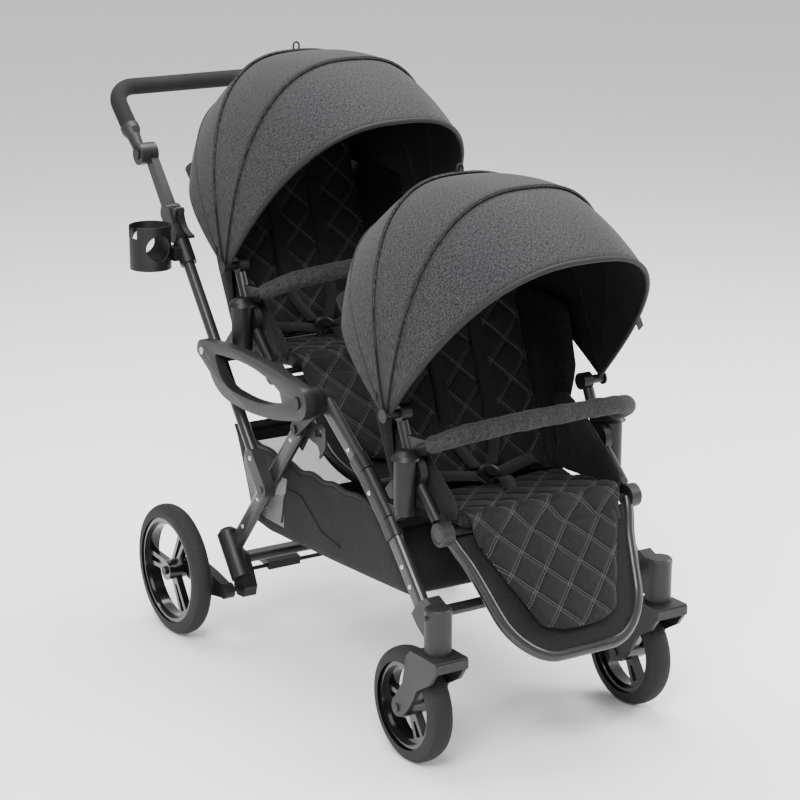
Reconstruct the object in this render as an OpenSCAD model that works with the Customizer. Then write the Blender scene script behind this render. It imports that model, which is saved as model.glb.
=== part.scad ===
// Tandem double stroller: two identical forward-facing seats, one behind the other, on a folding frame.
// Millimetres. +Z is up, the stroller faces -Y, and Z = 0 is the ground.

/* [Overall layout] */
// Distance between the front caster axes, left to right
caster_track = 462; // [440:2:500]
// Distance between the rear wheels' centre planes
rear_track = 586; // [570:2:640]
// How far the rear wheel axle lies behind the origin
rear_axle_y = 277; // [260:1:300]
// How far the caster swivel axis lies ahead of the origin
caster_y = 536; // [520:1:560]
// Distance from the front seat back to the rear seat
seat_pitch = 547; // [540:1:580]
// Height of the rear seat above the front seat
seat_rise = 150; // [145:1:180]

/* [Wheels] */
// Outer radius of a rear tyre
rear_wheel_r = 127; // [110:1:140]
// Width of a rear tyre
rear_tyre_w = 38; // [30:1:44]
// Outer radius of a front tyre
front_wheel_r = 100; // [85:1:105]
// Width of a front tyre
front_tyre_w = 46; // [36:1:50]
// Distance from the caster axis back to the front axle
caster_trail = 74; // [50:1:80]

/* [Tubes] */
// Width of the flat-sided frame tube, seen from the side
frame_tube_w = 34; // [28:1:36]
// Thickness of the flat-sided frame tube
frame_tube_t = 20; // [14:1:20]
// Diameter of the handle tubes
handle_tube_d = 22; // [18:1:22]
// Diameter of the seat frame tubes
seat_tube_d = 20; // [16:1:22]
// Wall of every tube
tube_wall = 1.6; // [1.2:0.1:3]

/* [Handle] */
// Distance between the centres of the handle bar's two legs
handle_span = 526; // [500:2:540]
// Diameter of the foam grip
grip_d = 32; // [26:1:38]
// Length of the handle bar's legs, from joint to corner
handle_leg = 160; // [130:1:180]
// Angle of the handle bar above the horizontal
handle_angle = 43.5; // [40:0.1:60]

/* [Seats] */
// Distance between the centres of a seat's side tubes
seat_tube_span = 396; // [380:1:400]
// Width of the seat cushion
cushion_w = 330; // [300:2:340]
// Thickness of the seat cushion
cushion_t = 25; // [18:1:26]
// Length of the backrest
back_len = 372; // [340:2:390]
// Angle of the backrest above the horizontal
back_angle = 70; // [60:1:80]
// Length of the footrest, from its hinge to the far edge
footrest_len = 264; // [240:2:280]
// Angle of the footrest below the horizontal
footrest_angle = 55; // [45:0.5:62]

/* [Canopy] */
// Half-width of the outermost canopy panel
canopy_half_w = 228; // [205:1:228]
// Radius of the outermost canopy panel
canopy_r = 388; // [370:1:400]
// Thickness of the canopy fabric with its lining
canopy_t = 3; // [2:0.5:4]
// Squareness of the canopy bows
canopy_square = 2.6; // [2:0.1:3.5]

/* [Basket] */
// Width of the basket
basket_w = 404; // [360:2:410]
// Thickness of the basket fabric
basket_t = 3; // [2:0.5:4]

/* [Clearances] */
// Radial clearance of a pin in its hole
pin_clear = 0.05; // [0.03:0.01:0.1]
// Gap between pieces that pass or rest by each other
gap = 0.5; // [0.3:0.1:1]

/* [Hidden] */

$fn = 48;

// The frame lies in three upright layers on each side. Each value is a layer's centre.
x_frame = caster_track / 2 - 9;
x_handle = x_frame + frame_tube_t / 2 + gap + handle_tube_d / 2 + 1;
link_t = 20;
x_link = x_handle + handle_tube_d / 2 + gap + 1 + link_t / 2;
x_caster = caster_track / 2;
x_rear_wheel = rear_track / 2;
x_post = x_frame - 6;

// Pivots and bends of the frame, as [y, z]
hub = [-164, 560];
leg_pivot = [-84, 487];
knee = [4, 354];
clamp = [338, 789];
elbow = [431, 906];
link_end = knee + 284 * (clamp - knee) / norm(clamp - knee);
tube_bend_top = [-302, 462];
tube_bend_low = [-372, 398];
tube_foot = [-488, 264];
leg_foot = [162, 195];
arm_pivot = [128, 122];
rear_axle = [rear_axle_y, rear_wheel_r];
front_axle = [-caster_y + caster_trail, front_wheel_r];

pin_r = 5;
hub_pin_r = 6;
hub_r = 27;

// A side plane is drawn in [y, z] and extruded along X.
module side_plate(x0, x1) {
    translate([x0, 0, 0]) rotate([90, 0, 90]) linear_extrude(x1 - x0) children();
}
// The same, for the left and the right side; x0 and x1 are distances from the middle plane.
module both_plates(x0, x1) {
    for (side = [0, 1]) mirror([side, 0, 0]) side_plate(x0, x1) children();
}
module cross_pin(p, r, x0, x1) {
    translate([x0, p[0], p[1]]) rotate([0, 90, 0]) cylinder(r = r, h = x1 - x0);
}
module both_pins(p, r, x0, x1) {
    for (side = [0, 1]) mirror([side, 0, 0]) cross_pin(p, r, x0, x1);
}
// Everything drawn for the +X side, on both sides
module both_sides() {
    for (side = [0, 1]) mirror([side, 0, 0]) children();
}
// side is -1 for the stroller's right side and 1 for its left side
module on_side(side) {
    mirror([side < 0 ? 1 : 0, 0, 0]) children();
}

function toward(p, q) = (q - p) / norm(q - p);
function angle_of(p, q) = atan2(q[1] - p[1], q[0] - p[0]);
function arc(c, r, a0, a1, n = 10) =
    [for (i = [0 : n]) let (a = a0 + (a1 - a0) * i / n) c + r * [cos(a), sin(a)]];
function bezier(p, q, r, n = 10) =
    [for (i = [0 : n]) let (t = i / n) (1 - t) * (1 - t) * p + 2 * t * (1 - t) * q + t * t * r];
function stadium(w, t, n = 8) = concat(
    arc([0, (w - t) / 2], t / 2, 0, 180, n), arc([0, -(w - t) / 2], t / 2, 180, 360, n));

// A straight tube in a side plane, from p to q. Its profile's long way lies in the side plane.
module along(p, q, x) {
    translate([x, p[0], p[1]]) rotate([-atan2(q[0] - p[0], q[1] - p[1]), 0, 0]) children();
}
module flat_tube(len, w, t, wall) {
    linear_extrude(len) difference() {
        polygon(stadium(w, t));
        polygon(stadium(w - 2 * wall, t - 2 * wall));
    }
}
module round_tube(len, d, wall) {
    difference() {
        cylinder(d = d, h = len);
        translate([0, 0, -1]) cylinder(d = d - 2 * wall, h = len + 2);
    }
}
// A bend that starts along +Z at the origin and turns towards +X
module tube_bend(r, d, inner_d, turn) {
    translate([r, 0, 0]) rotate([90, 0, 0]) mirror([1, 0, 0]) rotate_extrude(angle = turn)
        translate([r, 0]) difference() {
            circle(d = d);
            if (inner_d > 0) circle(d = inner_d);
        }
}
// A round U-shaped bar in the XZ plane. The legs rise from Z = 0 at X = -half and X = half.
module u_bar(half, leg, r, d, inner_d) {
    both_sides() translate([-half, 0, 0]) {
        difference() {
            cylinder(d = d, h = leg - r);
            if (inner_d > 0) translate([0, 0, -1]) cylinder(d = inner_d, h = leg - r + 2);
        }
        translate([0, 0, leg - r]) tube_bend(r, d, inner_d, 90);
    }
    translate([-half + r, 0, leg]) rotate([0, 90, 0]) difference() {
        cylinder(d = d, h = 2 * (half - r));
        if (inner_d > 0) translate([0, 0, -1]) cylinder(d = inner_d, h = 2 * (half - r) + 2);
    }
}

// ---------------------------------------------------------------- front frame

module front_tubes() {
    wall = tube_wall;
    color([0.24, 0.24, 0.25]) both_sides() {
        difference() {
            union() {
                along(hub, tube_bend_top, x_frame)
                    flat_tube(norm(tube_bend_top - hub), frame_tube_w, frame_tube_t, wall);
                cross_pin(hub, frame_tube_w / 2 + 3, x_frame - frame_tube_t / 2, x_frame + frame_tube_t / 2);
            }
            cross_pin(hub, hub_pin_r + pin_clear, x_frame - 20, x_frame + 20);
        }
        along(tube_bend_low, tube_foot, x_frame)
            flat_tube(norm(tube_foot - tube_bend_low), frame_tube_w, frame_tube_t, wall);
    }
}

sleeve_wall = 3;
post_r = 11;
post_foot = [-412, 428];
post_h = 72;

module socket_post(p) {
    translate([x_post, p[0], p[1]]) {
        cylinder(r = post_r, h = post_h);
        translate([0, 0, -10]) cylinder(r = post_r + 6, h = 14);
    }
}

module tube_sleeves() {
    outer_w = frame_tube_w + 2 * sleeve_wall;
    outer_t = frame_tube_t + 2 * sleeve_wall;
    inner_w = frame_tube_w + 0.2;
    inner_t = frame_tube_t + 0.2;
    reach = 34;
    start = tube_bend_top - reach * toward(hub, tube_bend_top);
    color([0.2, 0.2, 0.2]) both_sides() {
        difference() {
            union() {
                along(start, tube_bend_top, x_frame)
                    linear_extrude(reach) polygon(stadium(outer_w, outer_t));
                along(tube_bend_top, tube_bend_low, x_frame)
                    linear_extrude(norm(tube_bend_low - tube_bend_top)) polygon(stadium(outer_w, outer_t));
                along(tube_bend_low, tube_foot, x_frame)
                    linear_extrude(reach) polygon(stadium(outer_w, outer_t));
                side_plate(x_post - 9, x_post + 9) polygon([
                    [-340, 428], [-352, 414], [-378, 394], [-398, 402], post_foot + [-8, -6],
                    post_foot + [-8, 0], post_foot + [14, 2]]);
                socket_post(post_foot);
            }
            along(start, tube_bend_top, x_frame) translate([0, 0, -1])
                linear_extrude(reach + 1) polygon(stadium(inner_w, inner_t));
            along(tube_bend_low, tube_foot, x_frame)
                linear_extrude(reach + 1) polygon(stadium(inner_w, inner_t));
        }
    }
}

module hub_barrels() {
    inner = x_frame + frame_tube_t / 2;
    outer = x_link - link_t / 2;
    plate = 4;
    color([0.08, 0.08, 0.08]) both_sides() {
        difference() {
            union() {
                cross_pin(hub, hub_r, inner, outer - gap);
                for (i = [0 : 2]) cross_pin(hub, hub_r + 1.5, inner + 5 + 6 * i, inner + 8 + 6 * i);
                side_plate(inner + gap / 2, inner + gap / 2 + plate) polygon(concat(
                    arc(leg_pivot, 13, angle_of(hub, leg_pivot) - 90, angle_of(hub, leg_pivot) + 90),
                    arc(hub, 22, angle_of(hub, leg_pivot) + 90, angle_of(hub, leg_pivot) + 270)));
            }
            cross_pin(hub, hub_pin_r, inner - 1, outer + 1);
            cross_pin(leg_pivot, pin_r, inner - 1, outer + 1);
        }
    }
    // The steel pins of the hub and of the rear leg's pivot
    color([0.6, 0.6, 0.62]) both_sides() {
        cross_pin(hub, hub_pin_r, x_frame - frame_tube_t / 2 - 2, x_link + link_t / 2 + gap);
        cross_pin(hub, hub_pin_r + 5, x_link + link_t / 2 + gap, x_link + link_t / 2 + gap + 3);
        cross_pin(leg_pivot, pin_r, x_frame - 12, inner + plate + gap);
        cross_pin(leg_pivot, pin_r + 3, inner + plate + gap, inner + plate + gap + 2.5);
    }
}

housing_r = 23;
housing_foot = 219;
housing_top = 292;
spindle_r = 6;

module caster_housings() {
    color([0.23, 0.23, 0.24]) both_sides() difference() {
        union() {
            translate([x_caster, -caster_y, housing_foot])
                cylinder(r = housing_r, h = housing_top - housing_foot);
            translate([x_caster, -caster_y, housing_top])
                cylinder(r1 = housing_r, r2 = housing_r - 3, h = 3);
            side_plate(x_frame - 13, x_frame + 13) polygon([
                [-536, 290], [-506, 303], [-482, 288], [-462, 262], [-478, 246], [-500, 232], [-536, 226]]);
        }
        along(tube_bend_low, tube_foot, x_frame)
            linear_extrude(norm(tube_foot - tube_bend_low) + 1)
                polygon(stadium(frame_tube_w + 0.2, frame_tube_t + 0.2));
        translate([x_caster, -caster_y, housing_foot - 1]) cylinder(r = spindle_r + pin_clear, h = 62);
    }
    // The swivel lock's knob on the outer side of each housing
    color([0.5, 0.5, 0.52]) both_sides()
        cross_pin([-caster_y, 281], 4, x_caster + housing_r - 0.2, x_caster + housing_r + 5);
}

front_cross_p = [-482, 262];
module front_cross_tube() {
    half = x_frame - 13.4;
    color([0.2, 0.2, 0.21]) translate([-half, front_cross_p[0], front_cross_p[1]]) rotate([0, 90, 0])
        round_tube(2 * half, 20, tube_wall);
}

// ---------------------------------------------------------------- basket

basket_top_rear = [190, 424];
basket_low_rear = [138, 244];
basket_low_front = [-414, 262];
basket_top_front = [-352, 372];

// in draws the hollow: the profile moved inwards and run up past the open top
module basket_profile(in) {
    up = in == 0 ? 0 : 60;
    polygon([
        basket_top_rear + [-in, up], basket_low_rear + [-in, in], [80, 236 + in], [-60, 246 + in],
        basket_low_front + [in * 1.5, in], basket_top_front + [in, up], [-266, 402 + up * 1.5],
        [-20, 398 + up * 1.5], [120, 410 + up * 1.5]]);
}

module basket() {
    color([0.1, 0.1, 0.11]) {
        difference() {
            side_plate(-basket_w / 2, basket_w / 2) basket_profile(0);
            side_plate(-basket_w / 2 + basket_t, basket_w / 2 - basket_t) basket_profile(basket_t);
        }
        // The tabs that hang the basket from the frame's bends
        both_plates(basket_w / 2 - basket_t, x_frame - frame_tube_t / 2 - sleeve_wall - gap) polygon([
            basket_top_front + [4, -18], basket_top_front + [4, 6], basket_top_front + [-8, 18],
            basket_top_front + [-24, 8], basket_top_front + [-14, -14]]);
    }
}

// ---------------------------------------------------------------- side links

link_tail_r = 21;
link_hub_r = 31;

function link_outline() = concat(
    arc(hub, link_hub_r, 100, 262),
    bezier(hub + link_hub_r * [cos(262), sin(262)], [-50, 496], [72, 505]),
    bezier([80, 506], [128, 512], [150, 545], 6),
    arc(link_end, link_tail_r, -20, 95),
    bezier(link_end + link_tail_r * [cos(95), sin(95)], [0, 622], hub + link_hub_r * [cos(100), sin(100)]));
function link_window() = concat(
    bezier([-112, 548], [-40, 520], [66, 529]),
    bezier([76, 531], [104, 536], [118, 558], 6),
    bezier([126, 574], [132, 584], [120, 585], 4),
    bezier([108, 586], [-30, 600], [-104, 566]));

module side_links() {
    color([0.3, 0.3, 0.31]) difference() {
        both_plates(x_link - link_t / 2, x_link + link_t / 2) difference() {
            polygon(link_outline());
            polygon(link_window());
        }
        both_pins(hub, hub_pin_r + pin_clear, x_link - link_t, x_link + link_t);
        both_pins(link_end, 4, x_link - link_t, x_link + link_t);
    }
}

rear_post_foot = [seat_pitch, seat_rise] + post_foot;
module rear_seat_posts() {
    inner = x_link - link_t / 2;
    color([0.2, 0.2, 0.2]) both_sides() {
        socket_post(rear_post_foot);
        difference() {
            translate([x_post, rear_post_foot[0] - 14, rear_post_foot[1] - 10])
                cube([inner - x_post, 25, 12]);
            translate([x_post, rear_post_foot[0], rear_post_foot[1] - 11])
                cylinder(r = post_r + 6, h = 30);
        }
    }
}

module link_bolts() {
    inner = x_handle - handle_tube_d / 2 - 1;
    outer = x_link + link_t / 2;
    color([0.7, 0.7, 0.72]) both_sides() {
        cross_pin(link_end, 4, inner, outer);
        cross_pin(link_end, 7, outer, outer + 2.5);
    }
}

// ---------------------------------------------------------------- handle

tube_dir = toward(knee, clamp);
tube_start = knee + 40 * tube_dir;

module handle_tubes() {
    color([0.16, 0.16, 0.17]) both_sides() difference() {
        along(tube_start, clamp, x_handle) round_tube(norm(clamp - tube_start), handle_tube_d, tube_wall);
        cross_pin(link_end, 4 + pin_clear, x_handle - 20, x_handle + 20);
    }
}

module knee_plates() {
    a = angle_of(knee, clamp);
    half = handle_tube_d / 2;
    color([0.28, 0.28, 0.29]) both_sides() {
        difference() {
            side_plate(x_handle - half, x_handle + half) polygon(concat(
                arc(knee, 16, a - 260, a - 100),
                arc(knee + 66 * tube_dir, 14, a - 70, a + 70)));
            along(tube_start, clamp, x_handle) cylinder(d = handle_tube_d + 0.1, h = 100);
        }
        // The knee rivet's head
        cross_pin(knee, 6, x_handle + half, x_handle + half + 2);
    }
}

arm_layer = 8;
arm_dir = toward(clamp, elbow);
arm_front = [-arm_dir[1], arm_dir[0]];
trigger_p = clamp + 8 * arm_dir + 29 * arm_front;
module handle_arms() {
    a = angle_of(clamp, elbow);
    d = toward(clamp, elbow);
    color([0.26, 0.26, 0.27]) both_sides() {
        difference() {
            union() {
                side_plate(x_handle - 14, x_handle + 14) polygon(concat(
                    arc(clamp - 26 * d, 16, a + 110, a + 250, 8),
                    arc(clamp + 18 * d, 19, a - 70, a, 4),
                    arc(clamp + 18 * d, 19, a, a + 70, 4)));
                side_plate(x_handle - arm_layer, x_handle + arm_layer) polygon([
                    clamp + 15 * [d[1], -d[0]], elbow + 11 * [d[1], -d[0]],
                    elbow - 11 * [d[1], -d[0]], clamp - 15 * [d[1], -d[0]]]);
                cross_pin(elbow, 21, x_handle - arm_layer, x_handle + arm_layer);
                // The lugs that carry the fold trigger
                for (layer = [-10, 6.5]) side_plate(x_handle + layer, x_handle + layer + 3.5) polygon(concat(
                    arc(trigger_p, 6, a, a + 180, 6), [clamp - 14 * d + 12 * [-d[1], d[0]]],
                    [clamp + 26 * d + 12 * [-d[1], d[0]]]));
            }
            along(tube_start, clamp, x_handle)
                cylinder(d = handle_tube_d + 0.1, h = norm(clamp - tube_start) + 0.5);
        }
        // The trigger's pin and the elbow's pin
        cross_pin(trigger_p, 3, x_handle - 10, x_handle + 10);
        cross_pin(elbow, 6, x_handle + arm_layer, x_handle + arm_layer + 8);
    }
}

cup_r = 39;
cup_h = 82;
cup_wall = 3;
cup_p = [318, 712];
module cup_holder() {
    clamp_len = 46;
    outer = x_handle + 17;
    x_cup = outer + 6 + cup_r;
    // The clamp sits just below the arm's end
    s = norm(clamp - tube_start) - 43 - clamp_len;
    color([0.07, 0.07, 0.07]) mirror([1, 0, 0]) {
        difference() {
            along(tube_start, clamp, x_handle) translate([0, 0, s]) cylinder(r = 16, h = clamp_len);
            along(tube_start, clamp, x_handle) cylinder(d = handle_tube_d + 0.1, h = 900);
        }
        difference() {
            union() {
                translate([x_cup, cup_p[0], cup_p[1]]) cylinder(r = cup_r, h = cup_h);
                translate([x_handle + 14, cup_p[0] - 32, cup_p[1] + 14])
                    cube([x_cup - cup_r - x_handle - 8, 36, 24]);
            }
            along(tube_start, clamp, x_handle) cylinder(r = 15.5, h = 900);
            translate([x_cup, cup_p[0], cup_p[1] + cup_wall]) cylinder(r = cup_r - cup_wall, h = cup_h);
            translate([x_cup, cup_p[0], cup_p[1] - 1]) cylinder(r = cup_r - 14, h = cup_h);
            for (turn = [90, 270]) translate([x_cup, cup_p[0], cup_p[1] + cup_h * 0.52])
                rotate([0, 0, turn]) rotate([0, 90, 0]) cylinder(r = 24, h = cup_r + 5);
            translate([x_cup + cup_r - 26, cup_p[0] - 16, cup_p[1] + cup_h - 22]) cube([40, 32, 40]);
        }
    }
}

module fold_triggers() {
    a = angle_of(clamp, elbow);
    color([0.08, 0.08, 0.08]) both_sides() difference() {
        side_plate(x_handle - 6, x_handle + 6) polygon(concat(
            arc(trigger_p, 7, a - 60, a + 110, 6),
            bezier(trigger_p + [-12, -6], trigger_p + [-20, -34],
                trigger_p - 62 * arm_dir + 16 * arm_front, 6),
            arc(trigger_p - 62 * arm_dir + 12 * arm_front, 3, a + 120, a + 240, 3),
            bezier(trigger_p - 50 * arm_dir + 4 * arm_front, trigger_p - 24 * arm_dir - 6 * arm_front,
                trigger_p - 3 * arm_dir - 6.5 * arm_front, 5)));
        cross_pin(trigger_p, 3 + pin_clear, x_handle - 20, x_handle + 20);
    }
}

// ---------------------------------------------------------------- handle bar

x_bar = handle_span / 2;
bar_d = 20;
collar_len = 66;
corner_r = 42;

module bar_frame() {
    translate([0, elbow[0], elbow[1]]) rotate([handle_angle - 90, 0, 0]) children();
}

module handle_bar() {
    start = 30;
    color([0.2, 0.2, 0.2]) bar_frame() translate([0, 0, start])
        u_bar(x_bar, handle_leg - start, corner_r, bar_d, bar_d - 2 * tube_wall);
}

module handle_grip() {
    start = collar_len + gap;
    color([0.1, 0.095, 0.09]) bar_frame() translate([0, 0, start])
        u_bar(x_bar, handle_leg - start, corner_r, grip_d, bar_d + 0.1);
}

button_r = 10;
module handle_collars() {
    disc0 = x_handle + arm_layer + gap;
    disc1 = disc0 + 18;
    color([0.3, 0.3, 0.31]) both_sides() difference() {
        union() {
            cross_pin(elbow, 21, disc0, disc1);
            bar_frame() {
                translate([x_bar, 0, 0]) {
                    translate([0, 0, 12]) cylinder(d1 = 22, d2 = 26, h = 30);
                    translate([0, 0, 42]) cylinder(d1 = 26, d2 = grip_d + 4, h = collar_len - 54);
                    translate([0, 0, collar_len - 12]) cylinder(d = grip_d + 4, h = 12);
                }
            }
        }
        cross_pin(elbow, 6 + pin_clear, disc0 - 1, disc1 + 1);
        cross_pin(elbow, button_r + 0.3, disc0 + 8 - gap, disc1 + 20);
        cross_pin(elbow, 22, disc0 - 20, disc0);
        bar_frame() translate([x_bar, 0, 30]) cylinder(d = bar_d + 0.1, h = 80);
    }
}

module handle_button(side) {
    disc0 = x_handle + arm_layer + gap;
    color([0.12, 0.12, 0.12]) on_side(side) cross_pin(elbow, button_r, disc0 + 11.5, disc0 + 21.5);
}
module handle_button_left() handle_button(1);
module handle_button_right() handle_button(-1);

// ---------------------------------------------------------------- rear legs

module rear_legs() {
    w = frame_tube_w - 2;
    t = frame_tube_t - 2;
    a = angle_of(leg_pivot, leg_foot);
    color([0.25, 0.25, 0.26]) both_sides() {
        difference() {
            union() {
                along(leg_pivot, leg_foot, x_frame) flat_tube(norm(leg_foot - leg_pivot), w, t, tube_wall);
                cross_pin(leg_pivot, w / 2, x_frame - t / 2, x_frame + t / 2);
            }
            cross_pin(leg_pivot, pin_r + pin_clear, x_frame - 20, x_frame + 20);
        }
        // The tab at the knee
        side_plate(x_frame + t / 2, x_frame + t / 2 + 1.8) polygon(concat(
            arc(knee, 11, a - 190, a - 10), [knee + [30, 4], knee + [2, 36]]));
    }
}

module leg_brackets() {
    inner = x_frame - frame_tube_t / 2 - 3;
    color([0.27, 0.27, 0.28]) both_plates(inner, inner + 3.5) difference() {
        polygon(concat(
            arc(leg_pivot, 15, 20, 110, 5),
            [[-104, 499], [-138, 505], [-152, 500], [-152, 470]],
            bezier([-152, 470], [-146, 452], [-130, 440], 5),
            bezier([-132, 452], [-128, 466], [-112, 466], 5),
            [[-92, 470], [-70, 440], [-54, 452]]));
        polygon([[-140, 496], [-118, 492], [-118, 478], [-140, 482]]);
        translate(leg_pivot) circle(r = pin_r + 0.5);
    }
}

shock_r = 20;
shock_len = 92;
shock_low = [128, 142];
shock_top = shock_low + shock_len * [cos(53), sin(53)];
x_shock = x_frame + 6;

module shock_housings() {
    color([0.12, 0.12, 0.12]) both_sides() difference() {
        union() {
            along(shock_low, shock_top, x_shock) cylinder(r = shock_r, h = shock_len);
            along(shock_low, shock_top, x_shock) translate([0, 0, shock_len])
                cylinder(r1 = shock_r, r2 = shock_r - 8, h = 8);
            side_plate(x_frame - 16, x_frame + 12) polygon([
                [108, 128], [114, 108], [138, 106], [150, 122], [144, 152], [120, 154]]);
            side_plate(x_frame - 16, x_frame - 9.5) polygon(concat(
                [[140, 182], [120, 154], [128, 120]], arc(brake_p, 10, 250, 380, 6),
                [[182, 170], [168, 190]]));
        }
        along(leg_pivot, leg_foot, x_frame)
            linear_extrude(norm(leg_foot - leg_pivot) + 0.5)
                polygon(stadium(frame_tube_w - 1.8, frame_tube_t - 1.8));
        cross_pin(arm_pivot, pin_r + pin_clear, x_frame - 10, x_frame + 30);
        cross_pin(brake_p, 4 + pin_clear, x_frame - 20, x_frame - 9);
    }
}

rear_cross_p = [152, 172];
module rear_cross_tube() {
    half = x_frame - 16.4;
    color([0.2, 0.2, 0.21]) translate([-half, rear_cross_p[0], rear_cross_p[1]]) rotate([0, 90, 0])
        linear_extrude(2 * half) polygon(stadium(36, 16));
}

brake_p = [186, 132];
module brake_bar() {
    half = x_frame - 10;
    color([0.15, 0.15, 0.15]) {
        translate([-half, brake_p[0], brake_p[1]]) rotate([0, 90, 0]) cylinder(r = 4, h = 2 * half);
        // The pedal
        side_plate(-140, -70) polygon([
            [180, 140], [212, 146], [246, 134], [248, 128], [212, 132], [180, 124]]);
        both_sides() cross_pin(brake_p, 9, half - 22, half - 7);
    }
}

module swing_arm(side) {
    x0 = x_frame + 29;
    x1 = x_rear_wheel - rear_tyre_w / 2 - 4;
    color([0.1, 0.1, 0.1]) on_side(side) {
        difference() {
            side_plate(x0, x1) polygon(concat(
                arc(arm_pivot, 15, 60, 290, 8), [[180, 100], [230, 102]],
                arc(rear_axle, 19, 270, 450, 8), [[230, 150], [180, 144]]));
            cross_pin(rear_axle, pin_r, x0 - 1, x1 + 1);
        }
        cross_pin(arm_pivot, pin_r, x_frame - 9, x0);
        // The wheel's axle
        cross_pin(rear_axle, pin_r, x0 + 1, x_rear_wheel + 22);
        cross_pin(rear_axle, pin_r + 3, x_rear_wheel + 20, x_rear_wheel + 24);
    }
}
module swing_arm_left() swing_arm(1);
module swing_arm_right() swing_arm(-1);

// ---------------------------------------------------------------- wheels

// A wheel is drawn around the X axis, with its middle plane at X = 0.
module ring_x(outer, inner, w) {
    translate([-w / 2, 0, 0]) rotate([0, 90, 0]) difference() {
        cylinder(r = outer, h = w, $fn = 96);
        translate([0, 0, -1]) cylinder(r = inner, h = w + 2, $fn = 96);
    }
}
module tyre(r, w, bead) {
    h = w / 2;
    color([0.17, 0.17, 0.175]) rotate([0, 90, 0]) rotate_extrude($fn = 96) polygon(concat(
        [[r - bead, -h + 6], [r - bead + 6, -h + 1]],
        bezier([r - 12, -h], [r - 3, -h + 1], [r, -h + 10], 4),
        bezier([r, h - 10], [r - 3, h - 1], [r - 12, h], 4),
        [[r - bead + 6, h - 1], [r - bead, h - 6]]));
}
module rim(r, w, hub_w, bore, spokes) {
    color([0.09, 0.09, 0.095]) difference() {
        union() {
            ring_x(r, r - 7, w);
            ring_x(r - 6, r - 13, w * 0.55);
            ring_x(19, bore, hub_w);
            for (i = [0 : spokes - 1]) rotate([360 / spokes * i + 30, 0, 0]) translate([-w * 0.2, 0, 15])
                side_plate(0, w * 0.4) polygon([[-10, 0], [10, 0], [15, r - 25], [-15, r - 25]]);
        }
        ring_x(bore + pin_clear, 0, hub_w + 2);
        for (i = [0 : spokes - 1]) rotate([360 / spokes * i + 30, 0, 0]) translate([-w, 0, 0])
            side_plate(0, 2 * w) polygon([[-3, 30], [3, 30], [6, r - 18], [-6, r - 18]]);
    }
}

rear_bead = 25;
front_bead = 24;
module rear_wheel_at(side) {
    translate([side * x_rear_wheel, rear_axle[0], rear_axle[1]]) children();
}
module front_wheel_at(side) {
    translate([side * x_caster, front_axle[0], front_axle[1]]) children();
}
module rear_rim(side) rear_wheel_at(side) rim(rear_wheel_r - rear_bead - 0.1, rear_tyre_w - 6, 39, pin_r, 3);
module front_rim(side) front_wheel_at(side)
    rim(front_wheel_r - front_bead - 0.1, front_tyre_w - 10, 46, 4, 3);
module rear_rim_left() rear_rim(1);
module rear_rim_right() rear_rim(-1);
module rear_tyre_left() rear_wheel_at(1) tyre(rear_wheel_r, rear_tyre_w, rear_bead);
module rear_tyre_right() rear_wheel_at(-1) tyre(rear_wheel_r, rear_tyre_w, rear_bead);
module front_rim_left() front_rim(1);
module front_rim_right() front_rim(-1);
module front_tyre_left() front_wheel_at(1) tyre(front_wheel_r, front_tyre_w, front_bead);
module front_tyre_right() front_wheel_at(-1) tyre(front_wheel_r, front_tyre_w, front_bead);

fork_gap = 2.5;
fork_t = 7;
module caster_fork(side) {
    inner = front_tyre_w / 2 + fork_gap;
    outer = inner + fork_t;
    y0 = -caster_y;
    crown = 206;
    color([0.24, 0.24, 0.25]) translate([side * x_caster, 0, 0]) {
        difference() {
            union() {
                both_plates(inner, outer) polygon(concat(
                    [[y0 - 40, crown + 9], [y0 - 42, crown - 6], [y0 - 22, crown - 34]],
                    bezier([y0 + 14, 150], [y0 + 34, 108], front_axle + [-14, -12], 5),
                    arc(front_axle, 16, 240, 380, 6),
                    [[-478, 150], [y0 + 46, crown - 4], [y0 + 34, crown + 9]]));
                translate([-outer, y0 - 40, crown]) cube([2 * outer, 74, 9]);
                translate([-outer, y0 - 42, crown - 10]) cube([2 * outer, 8, 16]);
                translate([0, y0, crown]) cylinder(r = housing_r, h = housing_foot - crown - gap);
                translate([0, y0, crown]) cylinder(r = spindle_r, h = 66);
            }
            cross_pin(front_axle, 4, -60, 60);
        }
        cross_pin(front_axle, 4, -outer, outer);
        both_pins(front_axle, 7, outer, outer + 3);
    }
}
module caster_fork_left() caster_fork(1);
module caster_fork_right() caster_fork(-1);

// ---------------------------------------------------------------- seats
// Both seats are the same. Each is drawn in the front seat's place.

knuckle = [-495, 403];
seat_hub = [-406, 487];
canopy_pivot = [-365, 579];
bight = [-322, 408];
x_seat_tube = seat_tube_span / 2;
cap_z = 515;

x_seat_arm = x_seat_tube - 12;
back_hinge = bight + [14, 6];
back_dir = [cos(back_angle), sin(back_angle)];
back_front = [-sin(back_angle), cos(back_angle)];

module seat_at(is_rear) {
    translate(is_rear ? [0, seat_pitch, seat_rise] : [0, 0, 0]) children();
}

bumper_p = [-450, 543];
bumper_tilt = 26;
bumper_half = x_seat_tube - 8;
bumper_leg = 118;
bumper_bend = 116;
module bumper_frame() {
    translate([0, bumper_p[0], bumper_p[1]]) rotate([90 - bumper_tilt, 0, 0]) children();
}

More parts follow.
